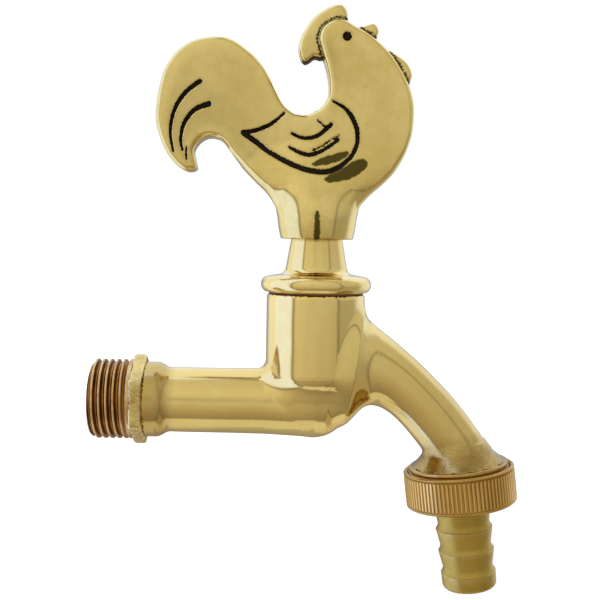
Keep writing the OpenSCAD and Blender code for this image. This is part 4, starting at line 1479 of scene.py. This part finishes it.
@dataclass
class Rooster(Assembly):
    """Cast rooster on its round socket.

    Outline points are measured from the stem axis and the socket's rim.
    """

    rim_z: float = 43.0
    body_t: float = 8.6
    comb_t: float = 5.6
    beak_t: float = 4.4
    round_r: float = 1.5
    crown: float = 0.32
    crown_w: float = 4.5
    plate_fillet: float = 0.15
    root_fillet: tuple[float, float] = (0.2, 2.2)
    bore_edge: float = 0.2
    unevenness: tuple[Triple, ...] = ((0.09, 25.0, 2.2), (0.018, 9.0, 0.7))
    cell: float = 0.37
    carve_depth: float = 0.55
    carve_edge: tuple[float, float] = (0.12, -0.33)
    eye: tuple[float, float] = (6.8, 51.8)
    eye_r: float = 1.15
    neck_bore_r: float = 6.95
    bore_h: float = 5.6
    square_w: float = 6.1
    square_h: float = 14.0
    grub_z: float = 9.6
    grub_r: float = 2.05
    body: Outline = field(
        default_factory=lambda: [
            [10.7, 7.9], [11.4, 9.3], [13.5, 11.8], [16.6, 14.5], [19.1, 17.1], [20.9, 19.8], [22.4, 22.4],
            [23.4, 25], [24.1, 27.6], [24.4, 31], [24.3, 34.6], [23.9, 36.8], [23.2, 39.3], [22, 41.9], [20.5, 44.6],
            [18.9, 46.9], [16.9, 49.2], [14.5, 51.3], [12.5, 52.8], [9.9, 54.2], [8.4, 55], [6.6, 56.1], [4.9, 56.5],
            [3.2, 56.2], [1.3, 55.1], [0, 53.4], [-0.4, 51.2], [0.1, 49.1], [0.7, 47], [1.5, 44.5], [2.1, 41.7],
            [2.4, 38.9], [2.2, 36.8], [1.4, 35.1], [0.4, 33.8], [-1.1, 32.8], [-3, 32], [-5, 32], [-6.7, 32.4],
            [-8.4, 33.6], [-9.7, 35.1], [-11.2, 37.8], [-12.8, 41], [-14.6, 44.1], [-16.9, 46.6], [-19.4, 48.6],
            [-21.9, 50.3], [-24.4, 51.3], [-26.9, 51.5], [-29.4, 51.3], [-31.8, 50.8], [-34.3, 49.7], [-36.8, 47.7],
            [-38.7, 45.4], [-40.4, 42.2], [-41.4, 38.3], [-42, 33.8], [-42.1, 30.1], [-41.5, 26.9], [-40.2, 23.4],
            [-38.7, 20.8], [-36.7, 18.5], [-34.7, 17.2], [-32.9, 17], [-31.6, 17.8], [-31.8, 19.3], [-32.4, 21.9],
            [-32, 23.3], [-31, 24.7], [-29.5, 25.7], [-27.8, 26], [-26, 25.6], [-24.5, 24.5], [-23.3, 22.9],
            [-21.5, 20.8], [-18.9, 18.1], [-16.4, 15.6], [-14.6, 13.9], [-13.3, 12.7], [-12.3, 11.2], [-11.5, 9.4],
            [-10.7, 8], [-9.6, 5.5], [-8, 3.5], [8, 3.5], [9.6, 5.5],
        ]
    )  # fmt: skip
    comb: Outline = field(
        default_factory=lambda: [
            [6.9, 56], [6.8, 58.8], [5.7, 60.3], [4.6, 60.5], [2.7, 60.1], [0.6, 58.9], [-1.5, 57.4], [-3.2, 55.4],
            [-4.7, 52.9], [-5.5, 50.8], [-5.7, 48.6], [-5.2, 46.5], [-4.1, 45.3], [-2.8, 45.7], [-1.4, 46.7],
            [0.4, 46.4], [3, 49], [5, 53],
        ]
    )  # fmt: skip
    beak: Outline = field(
        default_factory=lambda: [
            [9.3, 54.4], [11.4, 55.1], [13.5, 55.8], [14.5, 55.1], [15, 54], [14.7, 52.6], [14, 51], [11, 49],
            [7.5, 51.5],
        ]
    )  # fmt: skip
    wattle: Outline = field(
        default_factory=lambda: [
            [17.4, 49], [20.2, 47.8], [22.4, 46.1], [23.5, 44.4], [23.9, 42.7], [23.4, 41], [22.2, 39], [18, 41],
            [15.5, 46],
        ]
    )  # fmt: skip
    root: Outline = field(
        default_factory=lambda: [
            [0, 9.3, 9.3], [0.4, 9.55, 9.55], [3.15, 10.13, 10.1], [6.4, 10.6, 10.3], [9.5, 11.4, 9.6],
            [13.5, 14.4, 7.6], [18.5, 19.2, 5.6], [24, 22.4, 4.3], [30, 23, 3.2],
        ]
    )  # fmt: skip
    strokes: list[tuple[Outline, tuple[float, ...]]] = field(
        default_factory=lambda: [
            ([[-30.7, 39.8], [-34.2, 37.1], [-37.1, 32.7], [-38.2, 27], [-37.4, 21.9]], (1.2, 1.15, 1, 0.75, 0.5)),
            ([[-28.4, 34.1], [-32.1, 32.5], [-34.7, 29], [-35.5, 25], [-35, 22.2]], (1.5, 1.15, 1, 0.75, 0.5)),
            ([[-34, 23.1], [-34.1, 21.5], [-34, 19.9]], (0.4, 0.5, 0.4)),
            ([[-8.9, 32.2], [-12.1, 29.4], [-15.8, 27.7], [-19.4, 26.9]], (0.5, 0.8, 1, 1.1, 1.3)),
            (
                [
                    [-19.4, 26.9], [-16.1, 24.6], [-12.7, 22.1], [-9, 20], [-4.7, 18.1], [-0.8, 17.2], [2.2, 17.2],
                    [5, 18.3], [7.1, 19.9], [8.8, 21.9], [9.8, 24.5], [9.9, 27.2], [9.3, 29.5], [8, 31.9],
                    [6.2, 33.8], [3.3, 35.4],
                ],
                (1.4, 1.25, 1.35, 1.3, 1.1, 1.1, 1.2, 0.5),
            ),
            ([[-7, 27], [-4.9, 26], [-2.5, 25.8], [-0.3, 26.5], [1.4, 27.8], [3.1, 29.4]], (0.7, 0.9, 1, 1)),
            ([[-0.4, 30.4], [0.6, 29.6], [1.6, 28.8], [2.9, 28.9]], (0.4, 0.5, 0.8)),
            (
                [[-7.5, 23.4], [-5.7, 22.4], [-3.5, 21.6], [-1.6, 21.6], [0.4, 22.3], [2.5, 23.6], [5, 25.6]],
                (0.7, 1, 1.1, 0.9, 0.9),
            ),
            ([[-1.6, 22.7], [0.8, 23.8], [2.9, 25.3], [5.1, 26.6]], (0.4, 0.45, 0.4)),
        ]
    )  # fmt: skip
    # Painted dark olive reflections on the lower wing and down the front of the socket.
    dark_reflections: list[tuple[Outline, tuple[float, ...]]] = field(
        default_factory=lambda: [
            ([[-1.5, 19.1], [2.9, 20.3], [7, 21.9]], (0.9, 2.0, 2.2, 1.4)),
            ([[2.2, 15.2], [7.2, 17], [11.3, 19.4]], (1.4, 3.0, 3.8, 2.4)),
            ([[-0.2, 6.6], [-0.2, 3], [-0.2, 0]], (1.1, 1.4, 1.5)),
        ]
    )  # fmt: skip

    def __post_init__(self) -> None:
        """Draw the smooth outlines and strokes."""
        self.outlines = {
            name: smooth_line(getattr(self, name), 3, closed=True) for name in ("body", "comb", "beak", "wattle")
        }
        self.sections = smooth_line(self.root, 6)
        self.lines = [self.brushed(*stroke) for stroke in self.strokes]
        # Lines of the painted dark reflections.
        self.clouds = [self.brushed(*dark_reflection) for dark_reflection in self.dark_reflections]

    @staticmethod
    def brushed(keys: Outline, widths: tuple[float, ...]) -> tuple[Points, Points]:
        """Smooth line through key points, and its half width at each of its points."""
        line = smooth_line(keys, 4)
        along = np.linspace(0, 1, len(line))
        return line, np.interp(along, np.linspace(0, 1, len(widths)), widths) / 2

    def own(self, p: Points) -> Points:
        """Points measured from the stem axis and the socket's rim."""
        return p - np.array([self.axes.stem_x, 0, self.rim_z])

    def plate(self, q: Points, name: str, thick: float, r: float) -> Points:
        """Signed distance to one cast plate with round edges.

        Args:
            q: Points in the rooster's own frame.
            name: Which outline.
            thick: The plate's thickness.
            r: Radius of its edges.

        Returns:
            One value for each point.
        """
        gap = outline_distance(q[:, [0, 2]], self.outlines[name])
        crown = self.crown * ramp(gap, -self.crown_w, 0) ** 2
        return common(gap, np.abs(q[:, 1]) - thick / 2 + crown, r)

    def carving(self, p: Points) -> Points:
        """Distance to the edge of the nearest carved stroke or the eye, negative inside it."""
        flat = self.own(p)[:, [0, 2]]
        best = np.hypot(flat[:, 0] - self.eye[0], flat[:, 1] - self.eye[1]) - self.eye_r
        for line, half in self.lines:
            best = np.minimum(best, line_distance(flat, line, half))
        return best

    def dark_reflection(self, p: Points) -> Points:
        """Distance to the edge of the nearest painted dark reflection on the shown side, negative inside it."""
        q = self.own(p)
        best = np.full(len(q), 9.0)
        for line, half in self.clouds:
            best = np.minimum(best, line_distance(q[:, [0, 2]], line, half))
        return np.where(q[:, 1] < 0, best, 9.0)

    def patina_and_shade(self, p: Points) -> Points:
        """How black the metal is: black oxide beside the head, and painted shade under the comb and inside the back's
        hollow.
        """
        q = self.own(p)
        flat, depth = q[:, [0, 2]], np.abs(q[:, 1])
        gap = outline_distance(flat, self.outlines["body"])
        beside = ramp(gap, 1.5, 0.1) * (gap > 0.1) * (flat[:, 1] > 38)
        # Painted shade on the comb's underside.
        under = ramp(line_distance(flat, np.array(self.comb[12:16])), 1.28, 0.48) * (depth < 1.9)
        # Painted shade along the side wall of the back's hollow.
        ends = ramp(flat[:, 1], 47, 44) * ramp(np.abs(flat[:, 0] + 3.7), 7, 4.5)
        back = (np.abs(gap) < 0.9) * ramp(depth, 3.8, 2.4) * ends
        return np.maximum(np.maximum(beside, under), 0.8 * back)

    def field(self, p: Points) -> Points:
        """Signed distance to the handle.

        Args:
            p: Points, three columns.

        Returns:
            One value for each point, negative in the metal.
        """
        q = self.own(p)
        u, y, w = q.T
        rho = np.hypot(u, y)
        solid = self.plate(q, "body", self.body_t, self.round_r)
        half, thick = (np.interp(w, self.sections[:, 0], self.sections[:, k]) for k in (1, 2))
        k0, k1 = np.hypot(u / half, y / thick), np.hypot(u / half**2, y / thick**2)
        root = np.maximum(k0 * (k0 - 1) / np.maximum(k1, 1e-9), slab(w, self.root[0][0], self.root[-1][0]))
        least, more = self.root_fillet
        solid = join(solid, root, least + more * ramp(w, 27, 18) * ramp(w, 8, 14))
        for name, thickness, r in (
            ("comb", self.comb_t, self.round_r),
            ("beak", self.beak_t, 0.6 * self.round_r),
            ("wattle", self.beak_t, 0.8 * self.round_r),
        ):
            solid = join(solid, self.plate(q, name, thickness, r), self.plate_fillet)
        for depth, length, seed in self.unevenness:
            solid = solid - depth * waves(p, length, seed)
        depth = self.carve_depth * ramp(self.carving(p), *self.carve_edge)
        solid = solid + np.where(np.abs(y) > 1.5, depth, 0)
        bore = np.maximum(rho - self.neck_bore_r, w - self.bore_h)
        square = np.maximum(np.maximum(np.abs(u), np.abs(y)) - self.square_w / 2, w - self.square_h)
        grub = np.maximum(np.hypot(u, w - self.grub_z) - self.grub_r, -y)
        hollow = np.minimum(np.minimum(bore, square), grub)
        return common(solid, -hollow, self.bore_edge)

    def build(self) -> None:
        """Cast and dress the rooster."""
        x = self.axes.stem_x
        skin = Skin(self.field, (x - 43, -11.5, self.rim_z - 1), (x + 25.5, 11.5, self.rim_z + 61.5), self.cell)
        marks = {"carving": self.carving, "dark_reflection": self.dark_reflection, "patina_and_shade": self.patina_and_shade}
        piece = skin_piece("cast_rooster", skin, marks)
        dress(piece, CARVED.build(self.effects))
        carry(piece, Body.HANDLE, Slot.CAST, "rooster_handle")


@dataclass
class HoseTail(Assembly):
    """Turned and barbed hose tail, held by the nut."""

    top: float = 6.4
    flange_r: float = 12.82
    flange_end: float = 7.9
    bevel: float = 0.25
    neck_r: float = 7.0
    neck_end: float = 13.8
    first_barb: float = 16.4
    barb_pitch: float = 5.95
    barb_count: int = 3
    barb_r: float = 7.5
    barb_step: float = 0.12
    root_depth: float = 0.68
    shoulder: float = 1.6
    end_round: float = 1.4
    length: float = 32.6
    bore_r: float = 5.2
    steps: int = 128

    def profile(self) -> Profile:
        """Closed profile with its ribs."""
        points = [
            (self.bore_r, self.top),
            (self.flange_r - self.bevel, self.top),
            (self.flange_r, self.top + self.bevel),
            (self.flange_r, self.flange_end - self.bevel),
            (self.flange_r - self.bevel, self.flange_end),
            (self.neck_r + 0.3, self.flange_end),
            (self.neck_r, self.flange_end + 0.3),
            (self.neck_r, self.neck_end),
        ]
        for k in range(self.barb_count):
            s, r = self.first_barb + k * self.barb_pitch, self.barb_r - k * self.barb_step
            low = r - self.root_depth
            points += [(low, s - self.shoulder - 0.12)]
            points += [
                (low + (self.root_depth - 0.06) * (0.35 * t + 0.65 * t * t), s - self.shoulder * (1 - t))
                for t in (0.2, 0.4, 0.6, 0.8, 0.94)
            ]
            points += [(r, s - 0.04), (r, s + 0.1)]
        end = self.barb_r - self.barb_count * self.barb_step
        points += arc(end - self.end_round, self.length - self.end_round, self.end_round, 0, 90, 8)
        return [*points, (self.bore_r + 0.35, self.length), (self.bore_r, self.length - 0.35)]

    def build(self) -> None:
        """Turn and dress the hose tail."""
        mesh = self.shop.turn(self.profile(), SATIN_OLIVE.build(self.effects), self.steps)
        piece = self.shop.piece("barbed_tail", mesh, self.axes.outlet(), 22)
        carry(piece, Body.TAIL, Slot.OLIVE, "hose_tail")


@dataclass
class UnionNut(Assembly):
    """Ridged nut that holds the hose tail against the outlet."""

    outer_r: float = 14.6
    bore_r: float = 13.32
    bore_end: float = 7.9
    lip_hole_r: float = 7.6
    height: float = 9.6
    ridge_count: int = 84
    ridge_h: float = 0.34
    rim: float = 0.75
    corner_r: float = 0.12
    steps: int = 168

    def profile(self) -> Profile:
        """Closed profile of the ring under the ridges."""
        core, h, rim_r = self.outer_r - self.ridge_h, self.height, self.outer_r - 0.03
        half = [(self.outer_r - 0.45, 0.0), (rim_r, 0.35), (rim_r, self.rim - 0.1), (core, self.rim + 0.1)]
        shape = [
            (self.bore_r, 0.5),
            (self.bore_r + 0.5, 0.0),
            *half,
            *[(r, h - s) for r, s in reversed(half)],
            (self.lip_hole_r + 0.3, h),
            (self.lip_hole_r, h - 0.3),
            (self.lip_hole_r, self.bore_end),
            (self.bore_r, self.bore_end),
        ]
        return rounded(shape, self.corner_r)

    def build(self) -> None:
        """Turn, ridge and dress the nut."""
        finish = SATIN_RIDGED.build(self.effects)
        ring = self.shop.turn(self.profile(), finish, self.steps)
        root, length = self.outer_r - self.ridge_h, self.height - 2 * self.rim
        sizes = {"root_radius": root, "height": self.ridge_h, "length": length, "low_end": self.rim}
        mesh = self.shop.ridges.run(ring, finish, count=self.ridge_count, **sizes)
        piece = self.shop.piece("ridged_nut", mesh, self.axes.outlet(), 25)
        carry(piece, Body.NUT, Slot.SATIN, "union_nut")


@dataclass
class InnerParts:
    """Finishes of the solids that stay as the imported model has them."""

    nodes: dict[str, Piece]

    def build(self, effects: Effects) -> None:
        """Dress each solid with its finish."""
        for look, names in (
            (TURNED_STEM, ("spindle", "jumper", "washer_nut")),
            (TURNED_SCREW, ("handle_screw",)),
            (RUBBER, ("valve_washer", "upper_stem_ring", "lower_stem_ring", "hose_gasket")),
            (FIBRE, ("bonnet_seal",)),
        ):
            finish = look.build(effects)
            for name in names:
                solid = self.nodes[name]
                if not solid.material_slots:
                    solid.data.materials.append(finish)
                for slot in solid.material_slots:
                    slot.material = finish
                log.info("%s: dressed with %s", name, finish.name)


# ---------------------------------------------------------------- studio


@dataclass
class Studio:
    """Pale floor, soft light, white surroundings, the tent that the polish shows, and the camera.

    Lengths are in metres. floor_glow is two distances from the middle and the floor's glow at each, and a lamp
    is its name, its place, its side and its power in watts.
    """

    centre: Triple = (0.045, 0.0, 0.027)
    room_light: float = 0.38
    floor_z: float = -0.11
    floor_side: float = 6.0
    floor_grey: Colour = (0.86, 0.86, 0.86)
    floor_glow: tuple[float, ...] = (0.1, 0.8, 0.18, 0.68)
    tent_r: float = 1.4
    tent_cells: tuple[int, int] = (240, 120)
    tent_glow: float = 0.825
    tent_panel: Colour = (1.22, 1.46, 2.7)
    tent_rear: Colour = (1.2, 1.3, 1.6)
    tent_warmth: Colour = (0.0, 0.1, 0.22)
    focal_px: float = 950.0
    frame_px: float = 600.0
    sensor: float = 36.0
    camera_at: Triple = (0.04347, -0.250, 0.04087)
    pitch: float = 3.193
    roll: float = 1.0
    lamps: tuple[tuple[str, Triple, float, float], ...] = (
        ("key_lamp", (-0.35, -0.45, 1.2), 0.35, 8.0),
        ("fill_lamp", (0.9, -0.8, 0.5), 0.8, 4.0),
        ("back_lamp", (0.2, 1.0, 0.8), 0.8, 4.0),
    )

    def camera(self) -> None:
        """Set the camera where the photograph was taken from."""
        data = bpy.data.cameras.new("camera")
        data.sensor_width = self.sensor
        data.lens = self.focal_px / self.frame_px * self.sensor
        data.clip_start = 0.01
        eye = linked("camera", data)
        tip, roll = math.radians(90 - self.pitch), math.radians(self.roll)
        turn = Matrix.Rotation(tip, 4, "X") @ Matrix.Rotation(roll, 4, "Z")
        eye.matrix_world = Matrix.Translation(self.camera_at) @ turn
        bpy.context.scene.camera = eye

    def seen(self, g: Graph) -> Term:
        """Light Path's camera, glossy and transmission rays together."""
        rays = g.terms(g.add("ShaderNodeLightPath"))
        some = g.math("MAXIMUM", rays["Is Camera Ray"], rays["Is Glossy Ray"])
        return g.math("MAXIMUM", some, rays["Is Transmission Ray"])

    def world(self) -> None:
        """White surroundings that light the rest less than they show."""
        world = bpy.data.worlds.new("white_room")
        bpy.context.scene.world = world
        g = Graph(cleared(world))
        strength = g.span(self.seen(g), 0.0, 1.0, self.room_light, 1.0)
        g.add("ShaderNodeOutputWorld", {0: g.out("ShaderNodeBackground", {"Color": WHITE, "Strength": strength})})

    def floor(self) -> None:
        """Pale floor that keeps the tap's shadow."""
        mesh = bpy.data.meshes.new("pale_floor")
        side = self.floor_side
        corners = [(-side, -side), (side, -side), (side, side), (-side, side)]
        mesh.from_pydata([(x, y, self.floor_z) for x, y in corners], [], [(0, 1, 2, 3)])
        piece = linked("pale_floor", mesh)
        made = bpy.data.materials.new("pale_floor")
        g = Graph(cleared(made))
        spot = g.out("ShaderNodeTexCoord", output="Object")
        grain = g.out("ShaderNodeTexNoise", {"Vector": spot, "Scale": 40.0, "Detail": 4.0})
        away = g.out("ShaderNodeVectorMath", {0: spot}, "Value", operation="LENGTH")
        inputs = {
            "Base Color": self.floor_grey,
            "Roughness": 0.75 + grain * 0.1,
            "Emission Color": WHITE,
            "Emission Strength": self.seen(g) * g.span(away, *self.floor_glow),
        }
        g.add("ShaderNodeOutputMaterial", {0: g.out("ShaderNodeBsdfPrincipled", inputs)})
        mesh.materials.append(made)
        piece.visible_glossy = False

    def tent_light(self, azimuth: Points, height: Points) -> Points:
        """Light of the tent round the tap.

        Args:
            azimuth: Degrees from straight ahead, positive to the right.
            height: Degrees above the level.

        Returns:
            Red, green and blue for each direction.
        """

        def edge(angle: Points, at: float, soft: float) -> Points:
            """Soft step at an angle, which falls where the softness is negative."""
            return 1 / (1 + np.exp(-np.clip((angle - at) / soft, -60, 60)))

        aside, steep = np.abs(azimuth), np.abs(height)
        table, rear = edge(height, -62, -0.6), edge(aside, 108, 3)
        right_wall = edge(azimuth, 54, 1.5) * edge(height, 1, -3)
        left_panel = edge(azimuth, -57, -0.8) * edge(azimuth, -142, 4) * edge(height, -60, 3)
        right_panel = edge(azimuth, 108, 3) * edge(azimuth, 152, -4) * edge(height, -25, 5)
        rear_panel = rear * edge(height, 14, 4)
        left_joint = bump(azimuth, -53, 3.2) * edge(steep, 75, -2)
        right_joint = bump(azimuth, 54, 3.5) * edge(steep, 60, -3)
        rear_joint = edge(aside, 158, 3) * edge(height, 5, -5)
        photographer = bump(azimuth, -9, 6) * bump(height, 8, 6)
        ripple = np.sin(azimuth / 5 + height / 9) * np.sin(height / 4 + 1)

        level = 0.98 + 0.16 * edge(height, 22, 8) - 0.2 * edge(height, 55, 8) - 0.52 * ramp(height, 0, -60)
        level *= 1 + 0.15 * ramp(azimuth, 0, -45) - 0.13 * ramp(azimuth, 0, 50)
        level *= (1 + 0.03 * ripple) * (1 - 0.25 * photographer)
        for part, light in ((right_wall, 0.64), (table, 1.1), (rear, 0.62 + 0.4 * edge(height, -45, -8))):
            level += (light - level) * part
        shade = (1 - 0.6 * left_joint) * (1 - 0.45 * right_joint) * (1 - 0.35 * rear_joint)
        shade *= 1 - 0.7 * bump(height, 86, 3)
        cool = np.maximum(np.maximum(left_panel, rear_panel), 0.85 * right_panel)[:, None]
        warm = np.array(self.tent_warmth) * (ramp(height, 0, -30) * (1 - table))[:, None]
        plain = self.tent_glow * level[:, None] * (1 - warm)
        panel = np.where(rear[:, None] > 0.5, self.tent_rear, self.tent_panel)
        return (plain + (panel - plain) * cool) * shade[:, None]

    def tent(self) -> None:
        """Light tent with its panels and dark joints, which only shows in the polish."""
        columns, rows = self.tent_cells
        az = np.linspace(-math.pi, math.pi, columns, endpoint=False)
        el = np.linspace(-math.pi / 2 + 0.01, math.pi / 2 - 0.01, rows)
        a, e = (grid.ravel() for grid in np.meshgrid(az, el, indexing="ij"))
        spots = np.stack([np.sin(a) * np.cos(e), -np.cos(a) * np.cos(e), np.sin(e)], 1)
        spots = spots * self.tent_r + np.array(self.centre)
        number = np.arange(columns * rows).reshape(columns, rows)
        beside = np.roll(number, -1, 0)
        faces = np.stack([number[:, :-1], beside[:, :-1], beside[:, 1:], number[:, 1:]], -1).reshape(-1, 4).tolist()
        mesh = bpy.data.meshes.new("light_tent")
        mesh.from_pydata(spots.tolist(), [], faces)
        layer = mesh.attributes.new("tent_light", "FLOAT_COLOR", "POINT")
        shown = np.hstack([self.tent_light(np.degrees(a), np.degrees(e)), np.ones((len(a), 1))])
        layer.data.foreach_set("color", shown.astype(np.float32).ravel())
        piece = linked("light_tent", mesh)
        made = bpy.data.materials.new("tent_cloth")
        g = Graph(cleared(made))
        light = g.out("ShaderNodeAttribute", output="Color", attribute_name="tent_light")
        g.add("ShaderNodeOutputMaterial", {0: g.out("ShaderNodeEmission", {"Color": light, "Strength": 1.0})})
        made.cycles.emission_sampling = "NONE"
        mesh.materials.append(made)
        for rays in ("camera", "diffuse", "shadow", "transmission"):
            setattr(piece, f"visible_{rays}", False)

    def lamp(self, name: str, place_at: Triple, size: float, power: float) -> None:
        """Soft square lamp that faces the tap.

        Args:
            name: The lamp's name.
            place_at: Where it stands, in metres.
            size: Its side in metres.
            power: Its power in watts.
        """
        data = bpy.data.lights.new(name, "AREA")
        data.shape, data.size, data.energy = "SQUARE", size, power
        lamp = linked(name, data)
        aim = (Vector(place_at) - Vector(self.centre)).to_track_quat("Z", "Y").to_matrix().to_4x4()
        lamp.matrix_world = Matrix.Translation(place_at) @ aim
        lamp.visible_glossy = False

    def build(self) -> None:
        """Set up everything round the tap."""
        self.camera()
        self.world()
        self.floor()
        self.tent()
        for lamp in self.lamps:
            self.lamp(*lamp)
        bpy.context.scene.view_settings.view_transform = "Standard"
        log.info("studio: camera, floor, tent and lamps")


def main() -> None:
    """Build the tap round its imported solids."""
    logging.basicConfig(level=logging.INFO, format="%(message)s")
    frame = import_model()
    axes, shop, effects = Axes(), Workshop(), Effects()
    for assembly in (TapBody, Bonnet, Rooster, HoseTail, UnionNut):
        assembly(axes, shop, effects).build()
    InnerParts(frame["nodes"]).build(effects)
    Studio().build()


if __name__ == "__main__":
    main()
